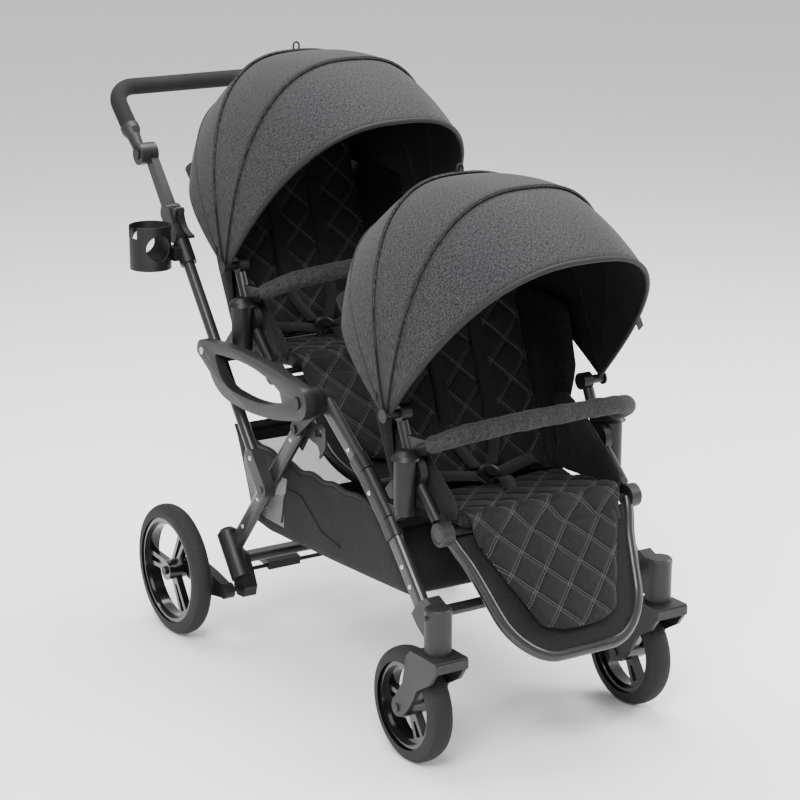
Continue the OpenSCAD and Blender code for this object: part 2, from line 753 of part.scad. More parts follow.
module seat_frame() {
    post_z = post_foot[1] + 4;
    x_tube = x_seat_tube - 4;
    // The adapters over the posts
    color([0.22, 0.22, 0.23]) both_sides() difference() {
        union() {
            cross_pin(seat_hub, 30, x_seat_arm, x_seat_tube + 2);
            translate([x_post, post_foot[0], post_z + 0.4]) cylinder(r = 19, h = cap_z - post_z - 0.4);
            translate([x_post, post_foot[0], cap_z]) cylinder(r1 = 25, r2 = 20, h = 8);
            translate([x_post, post_foot[0], cap_z + 8]) cylinder(r1 = 20, r2 = 10, h = 7);
        }
        translate([x_post, post_foot[0], post_z - 1]) cylinder(r = post_r + pin_clear, h = post_h - 2);
    }
    color([0.2, 0.2, 0.2]) both_sides() {
        difference() {
            union() {
                along(seat_hub, knuckle, x_tube)
                    round_tube(norm(knuckle - seat_hub), seat_tube_d, tube_wall);
                along(seat_hub, canopy_pivot, x_tube)
                    round_tube(norm(canopy_pivot - seat_hub) - 14, seat_tube_d, tube_wall);
            }
            cross_pin(seat_hub, 30.1, x_tube - 20, x_tube + 20);
            cross_pin(knuckle, 25, x_tube - 20, x_tube + 20);
        }
        // The knuckle that carries the footrest, and its pin
        cross_pin(knuckle, 17.9, x_tube - 10, x_tube);
        side_plate(x_tube - 10, x_tube) polygon([
            knuckle + [6, -4], knuckle + [30, 14], knuckle + [14, 30], knuckle + [-4, 6]]);
        cross_pin(knuckle, pin_r, x_tube, x_tube + 8);
        // The arm that carries the backrest's hinge bar
        side_plate(x_seat_arm, x_seat_arm + 5) polygon(concat(
            arc(back_hinge, 10, 200, 400, 8), [seat_hub + [20, 20], seat_hub + [-14, -24]]));
        // The canopy's hub
        cross_pin(canopy_pivot, 15, x_seat_tube - 18, x_seat_tube + 2);
        cross_pin(canopy_pivot, 7.7, x_seat_tube - 18, canopy_half_w + 0.5);
        cross_pin(canopy_pivot, 12, canopy_half_w + 0.5, canopy_half_w + 3);
    }
    // The sockets of the bumper
    color([0.18, 0.18, 0.18]) both_sides() difference() {
        union() {
            bumper_frame() translate([bumper_half, 0, -26]) cylinder(r = 12, h = 26);
            side_plate(x_seat_tube - 14, x_seat_tube) polygon([
                [-452, 531], [-426, 520], [-394, 508], [-372, 545], [-420, 550], [-444, 552]]);
        }
        bumper_frame() translate([bumper_half, 0, -23]) cylinder(r = 7 + pin_clear, h = 60);
    }
    // The bar under the cushion and the backrest's hinge bar
    color([0.2, 0.2, 0.2]) {
        cross_pin(knuckle, 6, -x_tube + 8, x_tube - 8);
        cross_pin(back_hinge, 4, -x_seat_arm - 1, x_seat_arm + 1);
    }
}

module cushion() {
    front = knuckle[0] - 22;
    half = cushion_w / 2;
    low = knuckle[1] + 6.3;
    r = cushion_t / 2;
    color([0.1, 0.1, 0.105]) side_plate(-half, half) polygon(concat(
        arc([front + r, low + r], r, 90, 270, 8), [[front + 30, low]], [bight + [2, -24]], [bight + [0, 1]],
        [[bight[0] - 14, bight[1] + 5]]));
    // The padded side wings
    color([0.14, 0.14, 0.15]) both_sides() side_plate(half + gap, half + 9) polygon(concat(
        [[bight[0] + 6, bight[1] + 2]], [[-470, 412]],
        bezier([-500, 424], [-512, 440], [-480, 470], 5),
        bezier([-440, 500], [-400, 540], [-340, 560], 5), [[-306, 548]]));
}

module backrest() {
    half = cushion_w / 2 - 6;
    a = back_angle;
    color([0.12, 0.12, 0.125]) difference() {
        side_plate(-half, half) polygon(concat(
            arc(back_hinge, 9, a + 90, a + 270, 8),
            arc(back_hinge + back_len * back_dir, 9, a - 90, a + 90, 8)));
        cross_pin(back_hinge, 4 + pin_clear, -half - 1, half + 1);
    }
    // The shoulder pads, in front of the panel
    color([0.13, 0.13, 0.135]) both_sides() side_plate(28, 66) polygon([
        back_hinge + 100 * back_dir + 9.4 * back_front, back_hinge + 100 * back_dir + 18 * back_front,
        back_hinge + 300 * back_dir + 18 * back_front, back_hinge + 300 * back_dir + 9.4 * back_front]);
}

footrest_half = x_seat_tube - 32;
footrest_bend = 110;
footrest_hub = 63;
module footrest_frame() {
    translate([0, knuckle[0], knuckle[1]]) rotate([90 + footrest_angle, 0, 0]) children();
}

module calf_pad() {
    side = footrest_half - 12 - gap;
    r = footrest_bend - 12 - gap;
    low = footrest_len - 12 - gap;
    // The panel fills the tube's U
    color([0.1, 0.1, 0.105]) footrest_frame() translate([0, 5, 0]) rotate([90, 0, 0]) linear_extrude(10)
        polygon(concat(
            [[-side, 30], [side, 30]], arc([side - r, low - r], r, 0, 90, 8),
            arc([r - side, low - r], r, 90, 180, 8)));
}

module footrest_tube() {
    disc0 = x_seat_tube - 4 + gap;
    disc1 = disc0 + 11;
    color([0.15, 0.15, 0.16]) difference() {
        union() {
            footrest_frame() {
                translate([0, 0, 20]) u_bar(footrest_half, footrest_len - 20, footrest_bend,
                    seat_tube_d, seat_tube_d - 2 * tube_wall);
                // The moulded hub that joins each leg to its disc
                both_sides() translate([footrest_half - 12, -12, 19])
                    cube([disc1 - footrest_half + 12, 24, footrest_hub - 19]);
            }
            both_sides() cross_pin(knuckle, 24, disc0, disc1);
        }
        both_pins(knuckle, pin_r + pin_clear, disc0 - 1, disc0 + 8);
    }
}

module bumper_bar() {
    color([0.16, 0.16, 0.16]) bumper_frame() {
        u_bar(bumper_half, bumper_leg, bumper_bend, 14, 0);
        both_sides() translate([bumper_half, 0, -22]) cylinder(d = 14, h = 22.5);
    }
}
module bumper_pad() {
    color([0.2, 0.2, 0.205]) bumper_frame() translate([0, 0, gap])
        u_bar(bumper_half, bumper_leg - gap, bumper_bend, 34, 14.1);
}

// One panel of the canopy: a fan of identical bows around the pivot's cross axis.
// shrink nests a panel inside its neighbour; a0 and a1 are angles above the horizontal, from the back.
function bow_r(x, a, b) = b * pow(max(0, 1 - pow(abs(x) / a, canopy_square)), 1 / canopy_square);
function bow_side(a, b, n = 14) =
    [for (i = [0 : n]) let (x = a * sin(90 * i / n) - 0.001) [max(8, bow_r(x, a, b)), x]];
module canopy_panel(shrink, a0, a1) {
    a = canopy_half_w - shrink;
    b = canopy_r - shrink;
    outer = bow_side(a, b);
    inner = bow_side(a - canopy_t, b - canopy_t);
    n = len(outer) - 1;
    profile = concat(
        [for (i = [0 : n]) [outer[n - i][0], -outer[n - i][1]]], [for (i = [1 : n]) outer[i]],
        [for (i = [0 : n]) inner[n - i]], [for (i = [1 : n]) [inner[i][0], -inner[i][1]]]);
    color([0.3, 0.3, 0.31]) translate([0, canopy_pivot[0], canopy_pivot[1]])
        rotate([a0, 0, 0]) rotate([90, 0, 90]) rotate_extrude(angle = a1 - a0, $fn = 64) polygon(profile);
}
module canopy_rear() canopy_panel(0, 49, 73);
module canopy_middle() canopy_panel(4, 71, 102);
module canopy_front() canopy_panel(8, 100, 132);

// The harness's buckle, facing up and forward, on its crotch strap
module buckle_at() {
    translate([0, -349, 431]) rotate([30, 0, 0]) children();
}
module harness() {
    color([0.06, 0.06, 0.06]) {
        difference() {
            buckle_at() cylinder(r = 24, h = 12);
            buckle_at() translate([0, 0, 6]) cylinder(r = 11.1, h = 12);
        }
        difference() {
            side_plate(-12.5, 12.5) polygon([
                [-374, 418.9], [-360, 416.8], [-342, 414.4], [-337, 440], [-368, 427]]);
            buckle_at() cylinder(r = 23, h = 12);
        }
    }
}
module buckle_button() {
    color([0.15, 0.15, 0.16]) buckle_at() translate([0, 0, 9.5]) cylinder(r = 11, h = 5);
}

module front_seat_frame() seat_at(false) seat_frame();
module front_cushion() seat_at(false) cushion();
module front_backrest() seat_at(false) backrest();
module front_calf_pad() seat_at(false) calf_pad();
module front_footrest_tube() seat_at(false) footrest_tube();
module front_bumper_bar() seat_at(false) bumper_bar();
module front_bumper_pad() seat_at(false) bumper_pad();
module front_canopy_rear() seat_at(false) canopy_rear();
module front_canopy_middle() seat_at(false) canopy_middle();
module front_canopy_front() seat_at(false) canopy_front();
module front_harness() seat_at(false) harness();
module front_buckle_button() seat_at(false) buckle_button();
module rear_seat_frame() seat_at(true) seat_frame();
module rear_cushion() seat_at(true) cushion();
module rear_backrest() seat_at(true) backrest();
module rear_calf_pad() seat_at(true) calf_pad();
module rear_footrest_tube() seat_at(true) footrest_tube();
module rear_bumper_bar() seat_at(true) bumper_bar();
module rear_bumper_pad() seat_at(true) bumper_pad();
module rear_canopy_rear() seat_at(true) canopy_rear();
module rear_canopy_middle() seat_at(true) canopy_middle();
module rear_canopy_front() seat_at(true) canopy_front();
module rear_harness() seat_at(true) harness();
module rear_buckle_button() seat_at(true) buckle_button();

// The origin is on the ground, at the centre of the stroller's outline
front_reach = knuckle[0] - footrest_len * cos(footrest_angle) - seat_tube_d / 2;
rear_reach = elbow[0] + handle_leg * cos(handle_angle) + grip_d / 2;
left_reach = x_rear_wheel + 24;
right_reach = x_handle + 23 + 2 * cup_r;
module placed() translate([(right_reach - left_reach) / 2, -(front_reach + rear_reach) / 2, 0]) children();

placed() front_tubes();
placed() tube_sleeves();
placed() hub_barrels();
placed() caster_housings();
placed() front_cross_tube();
placed() basket();
placed() side_links();
placed() rear_seat_posts();
placed() link_bolts();
placed() handle_tubes();
placed() knee_plates();
placed() handle_arms();
placed() cup_holder();
placed() fold_triggers();
placed() handle_bar();
placed() handle_grip();
placed() handle_collars();
placed() handle_button_left();
placed() handle_button_right();
placed() rear_legs();
placed() leg_brackets();
placed() shock_housings();
placed() rear_cross_tube();
placed() brake_bar();
placed() swing_arm_left();
placed() swing_arm_right();
placed() rear_rim_left();
placed() rear_tyre_left();
placed() rear_rim_right();
placed() rear_tyre_right();
placed() caster_fork_left();
placed() caster_fork_right();
placed() front_rim_left();
placed() front_tyre_left();
placed() front_rim_right();
placed() front_tyre_right();
placed() front_seat_frame();
placed() front_cushion();
placed() front_backrest();
placed() front_calf_pad();
placed() front_footrest_tube();
placed() front_bumper_bar();
placed() front_bumper_pad();
placed() front_canopy_rear();
placed() front_canopy_middle();
placed() front_canopy_front();
placed() front_harness();
placed() front_buckle_button();
placed() rear_seat_frame();
placed() rear_cushion();
placed() rear_backrest();
placed() rear_calf_pad();
placed() rear_footrest_tube();
placed() rear_bumper_bar();
placed() rear_bumper_pad();
placed() rear_canopy_rear();
placed() rear_canopy_middle();
placed() rear_canopy_front();
placed() rear_harness();
placed() rear_buckle_button();
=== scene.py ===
import math
import bmesh
import bpy
from mathutils import Matrix, Vector, noise


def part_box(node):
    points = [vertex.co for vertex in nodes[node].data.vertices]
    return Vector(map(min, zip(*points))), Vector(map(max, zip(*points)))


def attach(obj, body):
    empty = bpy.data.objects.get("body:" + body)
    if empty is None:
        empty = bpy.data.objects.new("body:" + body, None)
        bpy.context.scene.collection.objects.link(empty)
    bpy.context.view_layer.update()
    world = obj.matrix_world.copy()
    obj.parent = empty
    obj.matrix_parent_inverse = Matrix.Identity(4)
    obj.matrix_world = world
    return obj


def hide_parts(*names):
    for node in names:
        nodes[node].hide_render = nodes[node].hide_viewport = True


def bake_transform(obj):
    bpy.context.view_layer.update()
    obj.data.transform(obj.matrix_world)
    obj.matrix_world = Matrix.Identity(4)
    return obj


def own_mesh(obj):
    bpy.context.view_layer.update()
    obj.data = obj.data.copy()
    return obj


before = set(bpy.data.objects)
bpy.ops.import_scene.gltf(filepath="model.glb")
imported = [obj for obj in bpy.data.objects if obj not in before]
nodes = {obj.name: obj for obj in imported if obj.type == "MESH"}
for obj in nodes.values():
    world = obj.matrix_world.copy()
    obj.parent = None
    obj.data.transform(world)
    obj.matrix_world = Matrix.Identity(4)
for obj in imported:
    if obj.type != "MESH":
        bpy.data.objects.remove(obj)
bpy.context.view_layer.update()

scene = bpy.context.scene

# The model's zero is under the middle of its outline, and every size below is from the frame's middle plane, at
# 277 mm ahead of the rear axle.
left_wheel, right_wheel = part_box("rear_tyre_left"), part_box("rear_tyre_right")
middle = Vector(((left_wheel[0].x + right_wheel[1].x) / 2, (left_wheel[0].y + left_wheel[1].y) / 2 - 0.277, 0))
seat_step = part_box("rear_cushion")[0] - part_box("front_cushion")[0]
seats = (("front", middle), ("rear", middle + seat_step))

# ---------------------------------------------------------------- camera, floor and light
# The stroller stands on a pale studio floor. The camera looks down on its front right corner, and large
# soft lamps stand above, in front and at the side.
view_from = Vector((-2.2551, -3.5278, 1.6663))
camera = bpy.data.objects.new("camera", bpy.data.cameras.new("camera"))
camera.location = view_from + middle
camera.rotation_euler = (math.radians(90 - 15.9), 0, math.radians(-32.3))
camera.data.lens = 105.9
camera.data.sensor_width = 36
camera.data.shift_x = 0.038
camera.data.shift_y = 0.0076
camera.data.clip_end = 60
scene.collection.objects.link(camera)
scene.camera = camera


def plain_material(name, colour, roughness):
    material = bpy.data.materials.new(name)
    material.use_nodes = True
    shader = material.node_tree.nodes["Principled BSDF"]
    shader.inputs["Base Color"].default_value = (*colour, 1)
    shader.inputs["Roughness"].default_value = roughness
    return material


def object_from(name, bm, materials, smooth=True):
    mesh = bpy.data.meshes.new(name)
    bm.to_mesh(mesh)
    bm.free()
    piece = bpy.data.objects.new(name, mesh)
    scene.collection.objects.link(piece)
    for material in materials:
        mesh.materials.append(material)
    mesh.polygons.foreach_set("use_smooth", [smooth] * len(mesh.polygons))
    return piece


bm = bmesh.new()
bmesh.ops.create_grid(bm, x_segments=1, y_segments=1, size=40)
floor = object_from("floor", bm, [plain_material("studio floor", (0.93, 0.93, 0.93), 0.8)])

world = bpy.data.worlds.new("studio")
world.use_nodes = True
world.node_tree.nodes["Background"].inputs["Color"].default_value = (1, 1, 1, 1)
world.node_tree.nodes["Background"].inputs["Strength"].default_value = 0.85
scene.world = world
for name, place, size, power in [
    ("key lamp", (-2.4, -2.6, 3.4), 2.0, 260),
    ("top lamp", (0.3, 0.6, 3.8), 2.6, 250),
    ("side lamp", (3.2, -1.2, 2.0), 1.8, 120),
]:
    lamp = bpy.data.objects.new(name, bpy.data.lights.new(name, "AREA"))
    lamp.data.size = size
    lamp.data.energy = power
    lamp.location = place
    lamp.rotation_euler = (Vector((0, 0, 0.5)) - lamp.location).to_track_quat("-Z", "Y").to_euler()
    scene.collection.objects.link(lamp)

# ---------------------------------------------------------------- enamelled tubes
# The frame is steel tube: flat-sided for the legs, round for the handle and the seats. It is powder coated
# in a satin charcoal, with a very fine orange-peel and a little dust in it.


def effect_group(name, inputs, outputs):
    group = bpy.data.node_groups.new(name, "ShaderNodeTree")
    for label, kind, value in inputs:
        socket = group.interface.new_socket(name=label, in_out="INPUT", socket_type=kind)
        if value is not None:
            socket.default_value = value
    for label, kind in outputs:
        group.interface.new_socket(name=label, in_out="OUTPUT", socket_type=kind)
    return group, group.nodes.new("NodeGroupInput"), group.nodes.new("NodeGroupOutput")


def add(tree, kind, links=(), **settings):
    """A new node; links pairs one of its inputs with a socket or a value."""
    made = tree.nodes.new(kind)
    for key, value in settings.items():
        setattr(made, key, value)
    for key, value in links:
        if isinstance(value, bpy.types.NodeSocket):
            tree.links.new(value, made.inputs[key])
        else:
            made.inputs[key].default_value = value
    return made


grain_group, g_in, g_out = effect_group(
    "moulded grain",
    [("Scale", "NodeSocketFloat", 900.0)],
    [("Height", "NodeSocketFloat"), ("Mottle", "NodeSocketFloat"), ("Dust", "NodeSocketFloat")],
)
place = add(grain_group, "ShaderNodeTexCoord").outputs["Object"]
fine = add(grain_group, "ShaderNodeTexNoise", [("Vector", place), ("Scale", g_in.outputs["Scale"]), ("Detail", 3.0)])
broad = add(grain_group, "ShaderNodeTexNoise", [("Vector", place), ("Scale", 14.0), ("Detail", 4.0)])
speck = add(grain_group, "ShaderNodeTexNoise", [("Vector", place), ("Scale", 160.0), ("Detail", 2.0)])
spread = add(grain_group, "ShaderNodeMapRange", [("Value", speck.outputs["Fac"]), ("From Min", 0.62), ("From Max", 0.8)])
grain_group.links.new(fine.outputs["Fac"], g_out.inputs["Height"])
grain_group.links.new(broad.outputs["Fac"], g_out.inputs["Mottle"])
grain_group.links.new(spread.outputs["Result"], g_out.inputs["Dust"])


def coated(name, dark, light, rough_low, rough_high, grain_scale, grain_depth, coat=0.0, metal=0.0):
    """Paint, moulded plastic or rubber: two near colours mottled together over a fine grain."""
    material = bpy.data.materials.new(name)
    material.use_nodes = True
    tree = material.node_tree
    shader = tree.nodes["Principled BSDF"]
    grain = add(tree, "ShaderNodeGroup", node_tree=grain_group)
    grain.inputs["Scale"].default_value = grain_scale
    colour = add(tree, "ShaderNodeMix", [("Factor", grain.outputs["Mottle"])], data_type="RGBA")
    colour.inputs["A"].default_value = (*dark, 1)
    colour.inputs["B"].default_value = (*light, 1)
    dusty = add(tree, "ShaderNodeMix", [("A", colour.outputs["Result"])], data_type="RGBA")
    dusty.inputs["B"].default_value = (*(c * 1.6 + 0.01 for c in light), 1)
    amount = add(tree, "ShaderNodeMath", [(0, grain.outputs["Dust"]), (1, 0.25)], operation="MULTIPLY")
    tree.links.new(amount.outputs["Value"], dusty.inputs["Factor"])
    tree.links.new(dusty.outputs["Result"], shader.inputs["Base Color"])
    rough = add(tree, "ShaderNodeMapRange", [
        ("Value", grain.outputs["Mottle"]), ("From Min", 0.3), ("From Max", 0.7),
        ("To Min", rough_low), ("To Max", rough_high)])
    tree.links.new(rough.outputs["Result"], shader.inputs["Roughness"])
    bump = add(tree, "ShaderNodeBump", [
        ("Height", grain.outputs["Height"]), ("Strength", 0.5), ("Distance", grain_depth)])
    tree.links.new(bump.outputs["Normal"], shader.inputs["Normal"])
    shader.inputs["Coat Weight"].default_value = coat
    shader.inputs["Specular IOR Level"].default_value = 0.3
    shader.inputs["Coat Roughness"].default_value = 0.12
    shader.inputs["Metallic"].default_value = metal
    return material


enamel = coated("charcoal enamel", (0.012, 0.012, 0.013), (0.019, 0.019, 0.02), 0.26, 0.36, 700, 0.00008, coat=0.2)


def refinish(material, *names):
    for name in names:
        mesh = nodes[name].data
        mesh.materials.clear()
        mesh.materials.append(material)


refinish(enamel, "front_tubes", "rear_legs", "handle_tubes", "front_cross_tube", "rear_cross_tube", "handle_bar")
for row in ("front", "rear"):
    refinish(enamel, f"{row}_bumper_bar")

# ---------------------------------------------------------------- mouldings
# Hubs, brackets, sleeves and adapters are glass-filled nylon with a fine spark-eroded texture. Some are
# charcoal like the tubes, others black.
charcoal_plastic = coated(
    "charcoal moulding", (0.012, 0.012, 0.0125), (0.02, 0.02, 0.021), 0.38, 0.5, 1500, 0.00012)
black_plastic = coated(
    "black moulding", (0.004, 0.004, 0.0043), (0.009, 0.009, 0.0095), 0.36, 0.5, 1500, 0.00012)
refinish(charcoal_plastic, "caster_housings", "knee_plates", "handle_arms", "handle_collars",
         "caster_fork_left", "caster_fork_right", "leg_brackets")
refinish(black_plastic, "tube_sleeves", "hub_barrels", "rear_seat_posts", "cup_holder", "fold_triggers",
         "handle_button_left", "handle_button_right", "shock_housings", "brake_bar", "swing_arm_left",
         "swing_arm_right")
for row in ("front", "rear"):
    refinish(black_plastic, f"{row}_seat_frame", f"{row}_buckle_button")

# ---------------------------------------------------------------- ring links
# On each side a large leaf-shaped ring of cast alloy joins the hub to the handle tube. Its edges are
# rounded all over and it is painted like the tubes.
ring_material = coated("ring enamel", (0.009, 0.009, 0.0095), (0.015, 0.015, 0.016), 0.36, 0.46, 700, 0.00008, coat=0.05)
bm = bmesh.new()
bm.from_mesh(nodes["side_links"].data)
bmesh.ops.remove_doubles(bm, verts=bm.verts, dist=0.00002)
bmesh.ops.dissolve_limit(bm, angle_limit=math.radians(2), verts=bm.verts, edges=bm.edges)
rims = [e for e in bm.edges if len(e.link_faces) == 2 and e.calc_face_angle(0) > 1.2
        and min(abs(v.co.x - middle.x) for v in e.verts) > 0.25]
bmesh.ops.bevel(bm, geom=rims, affect="EDGES", offset=0.0042, segments=4, profile=0.5, material=-1, clamp_overlap=True)
rings = object_from("ring_links", bm, [ring_material])
rings.data.set_sharp_from_angle(angle=math.radians(35))
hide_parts("side_links")
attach(rings, "links")

# ---------------------------------------------------------------- bolts and rivets
# Zinc-plated steel rivets hold the tubes and brackets together; their domed heads show on the outside.
zinc = coated("zinc plated steel", (0.42, 0.42, 0.43), (0.58, 0.58, 0.6), 0.25, 0.4, 1200, 0.00005, metal=1.0)
refinish(zinc, "link_bolts")


def rivets(name, body, places, radius=0.0045, height=0.45):
    """Domed heads, one at each (x, y, z), facing away from the middle plane."""
    bm = bmesh.new()
    for place in places:
        for side in (-1, 1):
            head = bmesh.ops.create_uvsphere(bm, u_segments=16, v_segments=8, radius=radius)["verts"]
            bmesh.ops.scale(bm, vec=(height, 1, 1), verts=head)
            bmesh.ops.translate(bm, vec=middle + Vector((side * place[0], place[1], place[2])), verts=head)
    piece = object_from(name, bm, [zinc])
    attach(piece, body)
    return piece


rivets("front_tube_rivets", "frame", [
    (0.2321, -0.428, 0.333), (0.2321, -0.452, 0.305), (0.2321, -0.258, 0.493), (0.2351, -0.33, 0.436)])
rivets("leg_rivets", "legs", [(0.2311, 0.118, 0.247), (0.2311, 0.06, 0.316), (0.2311, -0.062, 0.461)])
rivets("handle_rivets", "handle_lower", [(0.2586, 0.331, 0.781), (0.2558, 0.042, 0.404)], radius=0.005)

# ---------------------------------------------------------------- wheels
# Foam-filled rubber tyres with a blocked tread sit on glossy black three-spoke rims. The rear wheels are
# larger than the front ones.
tyre_rubber = coated("tyre rubber", (0.009, 0.009, 0.0095), (0.016, 0.016, 0.017), 0.6, 0.75, 500, 0.0002)
rim_gloss = coated("gloss rim", (0.003, 0.003, 0.0032), (0.006, 0.006, 0.0065), 0.16, 0.24, 300, 0.00003, coat=0.6)


def tyre(name, node, body, section_steps=18, turn_steps=144):
    low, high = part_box(node)
    centre = (low + high) / 2
    outer = (high.z - low.z) / 2
    half = (high.x - low.x) / 2
    bead = outer - (0.025 if outer > 0.11 else 0.024)
    depth = outer - bead
    bm = bmesh.new()
    section = []
    for i in range(section_steps + 1):
        turn = math.pi * i / section_steps
        across = -math.cos(turn)
        lift = math.sin(turn) ** 0.62
        section.append(bm.verts.new((half * 0.98 * across, 0, bead + (depth - 0.0012) * lift)))
    edges = [bm.edges.new((a, b)) for a, b in zip(section, section[1:])]
    bmesh.ops.spin(bm, geom=section + edges, cent=(0, 0, 0), axis=(1, 0, 0), angle=math.tau,
                   steps=turn_steps, use_merge=True)
    bmesh.ops.remove_doubles(bm, verts=bm.verts, dist=0.00005)
    bmesh.ops.recalc_face_normals(bm, faces=bm.faces)
    tread = [f for f in bm.faces if Vector((0, f.calc_center_median().y, f.calc_center_median().z)).length
             > outer - 0.006]
    bmesh.ops.inset_individual(bm, faces=tread, thickness=0.0007, depth=0.0011)
    bmesh.ops.translate(bm, vec=centre, verts=bm.verts)
    piece = object_from(name, bm, [tyre_rubber])
    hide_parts(node)
    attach(piece, body)


for side in ("left", "right"):
    for row in ("front", "rear"):
        tyre(f"{row}_tyre_{side}_treaded", f"{row}_tyre_{side}", f"{row}_wheel_{side}")
        refinish(rim_gloss, f"{row}_rim_{side}")

# ---------------------------------------------------------------- handle grip
# A sleeve of closed-cell foam covers the whole bar between the two collars.
foam = coated("black foam", (0.005, 0.0048, 0.0045), (0.009, 0.0086, 0.0082), 0.8, 0.92, 420, 0.0005)
refinish(foam, "handle_grip")

# ---------------------------------------------------------------- canopies
# Each seat has a canopy of three panels of heather melange polyester over spring-wire bows. The panels are
# edged with black piping, the front one ends in a padded binding, and all are lined in black.
weave_group, w_in, w_out = effect_group(
    "cloth weave",
    [("Vector", "NodeSocketVector", None), ("Thread", "NodeSocketFloat", 0.0009)],
    [("Height", "NodeSocketFloat"), ("Heather", "NodeSocketFloat")],
)
rate = add(weave_group, "ShaderNodeMath", [(0, math.tau), (1, w_in.outputs["Thread"])], operation="DIVIDE")
parts = add(weave_group, "ShaderNodeSeparateXYZ", [("Vector", w_in.outputs["Vector"])])
waves = []
for axis in ("X", "Y"):
    turned = add(weave_group, "ShaderNodeMath", [(0, parts.outputs[axis]), (1, rate.outputs["Value"])], operation="MULTIPLY")
    waves.append(add(weave_group, "ShaderNodeMath", [(0, turned.outputs["Value"])], operation="SINE"))
crossed = add(weave_group, "ShaderNodeMath", [(0, waves[0].outputs["Value"]), (1, waves[1].outputs["Value"])], operation="MULTIPLY")
streaks = []
for stretch in ((330, 1700, 1), (1700, 330, 1)):
    mapped = add(weave_group, "ShaderNodeMapping", [("Vector", w_in.outputs["Vector"]), ("Scale", stretch)])
    streaks.append(add(weave_group, "ShaderNodeTexNoise", [("Vector", mapped.outputs["Vector"]), ("Scale", 0.5), ("Detail", 2.0)]))
heather = add(weave_group, "ShaderNodeMath", [(0, streaks[0].outputs["Fac"]), (1, streaks[1].outputs["Fac"])], operation="ADD")
level = add(weave_group, "ShaderNodeMapRange", [("Value", heather.outputs["Value"]), ("From Min", 0.9), ("From Max", 1.1)])
weave_group.links.new(crossed.outputs["Value"], w_out.inputs["Height"])
weave_group.links.new(level.outputs["Result"], w_out.inputs["Heather"])


def woven(name, dark, light, thread, depth, sheen=0.2, rough=0.85, crease=0.0, own="map"):
    """Cloth on a piece's own UV map, or on its attribute where own says so; both are in metres."""
    material = bpy.data.materials.new(name)
    material.use_nodes = True
    tree = material.node_tree
    shader = tree.nodes["Principled BSDF"]
    if own == "map":
        flat = add(tree, "ShaderNodeUVMap", uv_map="cloth").outputs["UV"]
    else:
        flat = add(tree, "ShaderNodeAttribute", attribute_name="cloth").outputs["Vector"]
    weave = add(tree, "ShaderNodeGroup", [], node_tree=weave_group)
    tree.links.new(flat, weave.inputs["Vector"])
    weave.inputs["Thread"].default_value = thread
    place = add(tree, "ShaderNodeTexCoord").outputs["Object"]
    worn = add(tree, "ShaderNodeTexNoise", [("Vector", place), ("Scale", 9.0), ("Detail", 3.0)])
    tint = add(tree, "ShaderNodeMapRange", [("Value", worn.outputs["Fac"]), ("To Min", 0.86), ("To Max", 1.12)])
    colour = add(tree, "ShaderNodeMix", [("Factor", weave.outputs["Heather"])], data_type="RGBA")
    colour.inputs["A"].default_value = (*dark, 1)
    colour.inputs["B"].default_value = (*light, 1)
    shade = add(tree, "ShaderNodeVectorMath", [(0, colour.outputs["Result"])], operation="SCALE")
    tree.links.new(tint.outputs["Result"], shade.inputs["Scale"])
    tree.links.new(shade.outputs["Vector"], shader.inputs["Base Color"])
    shader.inputs["Roughness"].default_value = rough
    shader.inputs["Specular IOR Level"].default_value = 0.2
    shader.inputs["Sheen Weight"].default_value = sheen
    shader.inputs["Sheen Roughness"].default_value = 0.45
    threads = add(tree, "ShaderNodeBump", [("Height", weave.outputs["Height"]), ("Strength", 0.6), ("Distance", depth)])
    last = threads
    if crease:
        folds = add(tree, "ShaderNodeTexNoise", [("Vector", place), ("Scale", 26.0), ("Detail", 5.0), ("Distortion", 1.2)])
        last = add(tree, "ShaderNodeBump", [
            ("Height", folds.outputs["Fac"]), ("Strength", 0.5), ("Distance", crease), ("Normal", threads.outputs["Normal"])])
    tree.links.new(last.outputs["Normal"], shader.inputs["Normal"])
    return material


heather_cloth = woven("heather canopy cloth", (0.007, 0.007, 0.0075), (0.042, 0.043, 0.045), 0.0011, 0.00008, sheen=0.05)
lining = woven("black lining", (0.003, 0.003, 0.0032), (0.007, 0.007, 0.0075), 0.0006, 0.0001, sheen=0.02, crease=0.002)
binding = woven("black binding", (0.006, 0.006, 0.0065), (0.013, 0.013, 0.014), 0.0007, 0.0002, sheen=0.15)

canopy_pivot = Vector((0, -0.365, 0.579))
bow_half_width = 0.228
bow_radius = 0.388
bow_square = 2.6


def bow_point(across, angle, shrink=0.0, reach=1.0):
    """A point of the bow at across, -1 to 1, and at angle above the horizontal, from the back."""
    half = bow_half_width - shrink
    x = half * math.sin(math.pi / 2 * across)
    radius = (bow_radius - shrink) * (1 - abs(x / half) ** bow_square) ** (1 / bow_square) * reach
    radius = max(radius, 0.008)
    turn = math.radians(angle)
    return canopy_pivot + Vector((x, radius * math.cos(turn), radius * math.sin(turn)))


def baked(piece):
    """The piece as its modifiers leave it, with none left on it."""
    made = bpy.data.meshes.new_from_object(piece.evaluated_get(bpy.context.evaluated_depsgraph_get()))
    piece.modifiers.clear()
    piece.data = made
    return piece


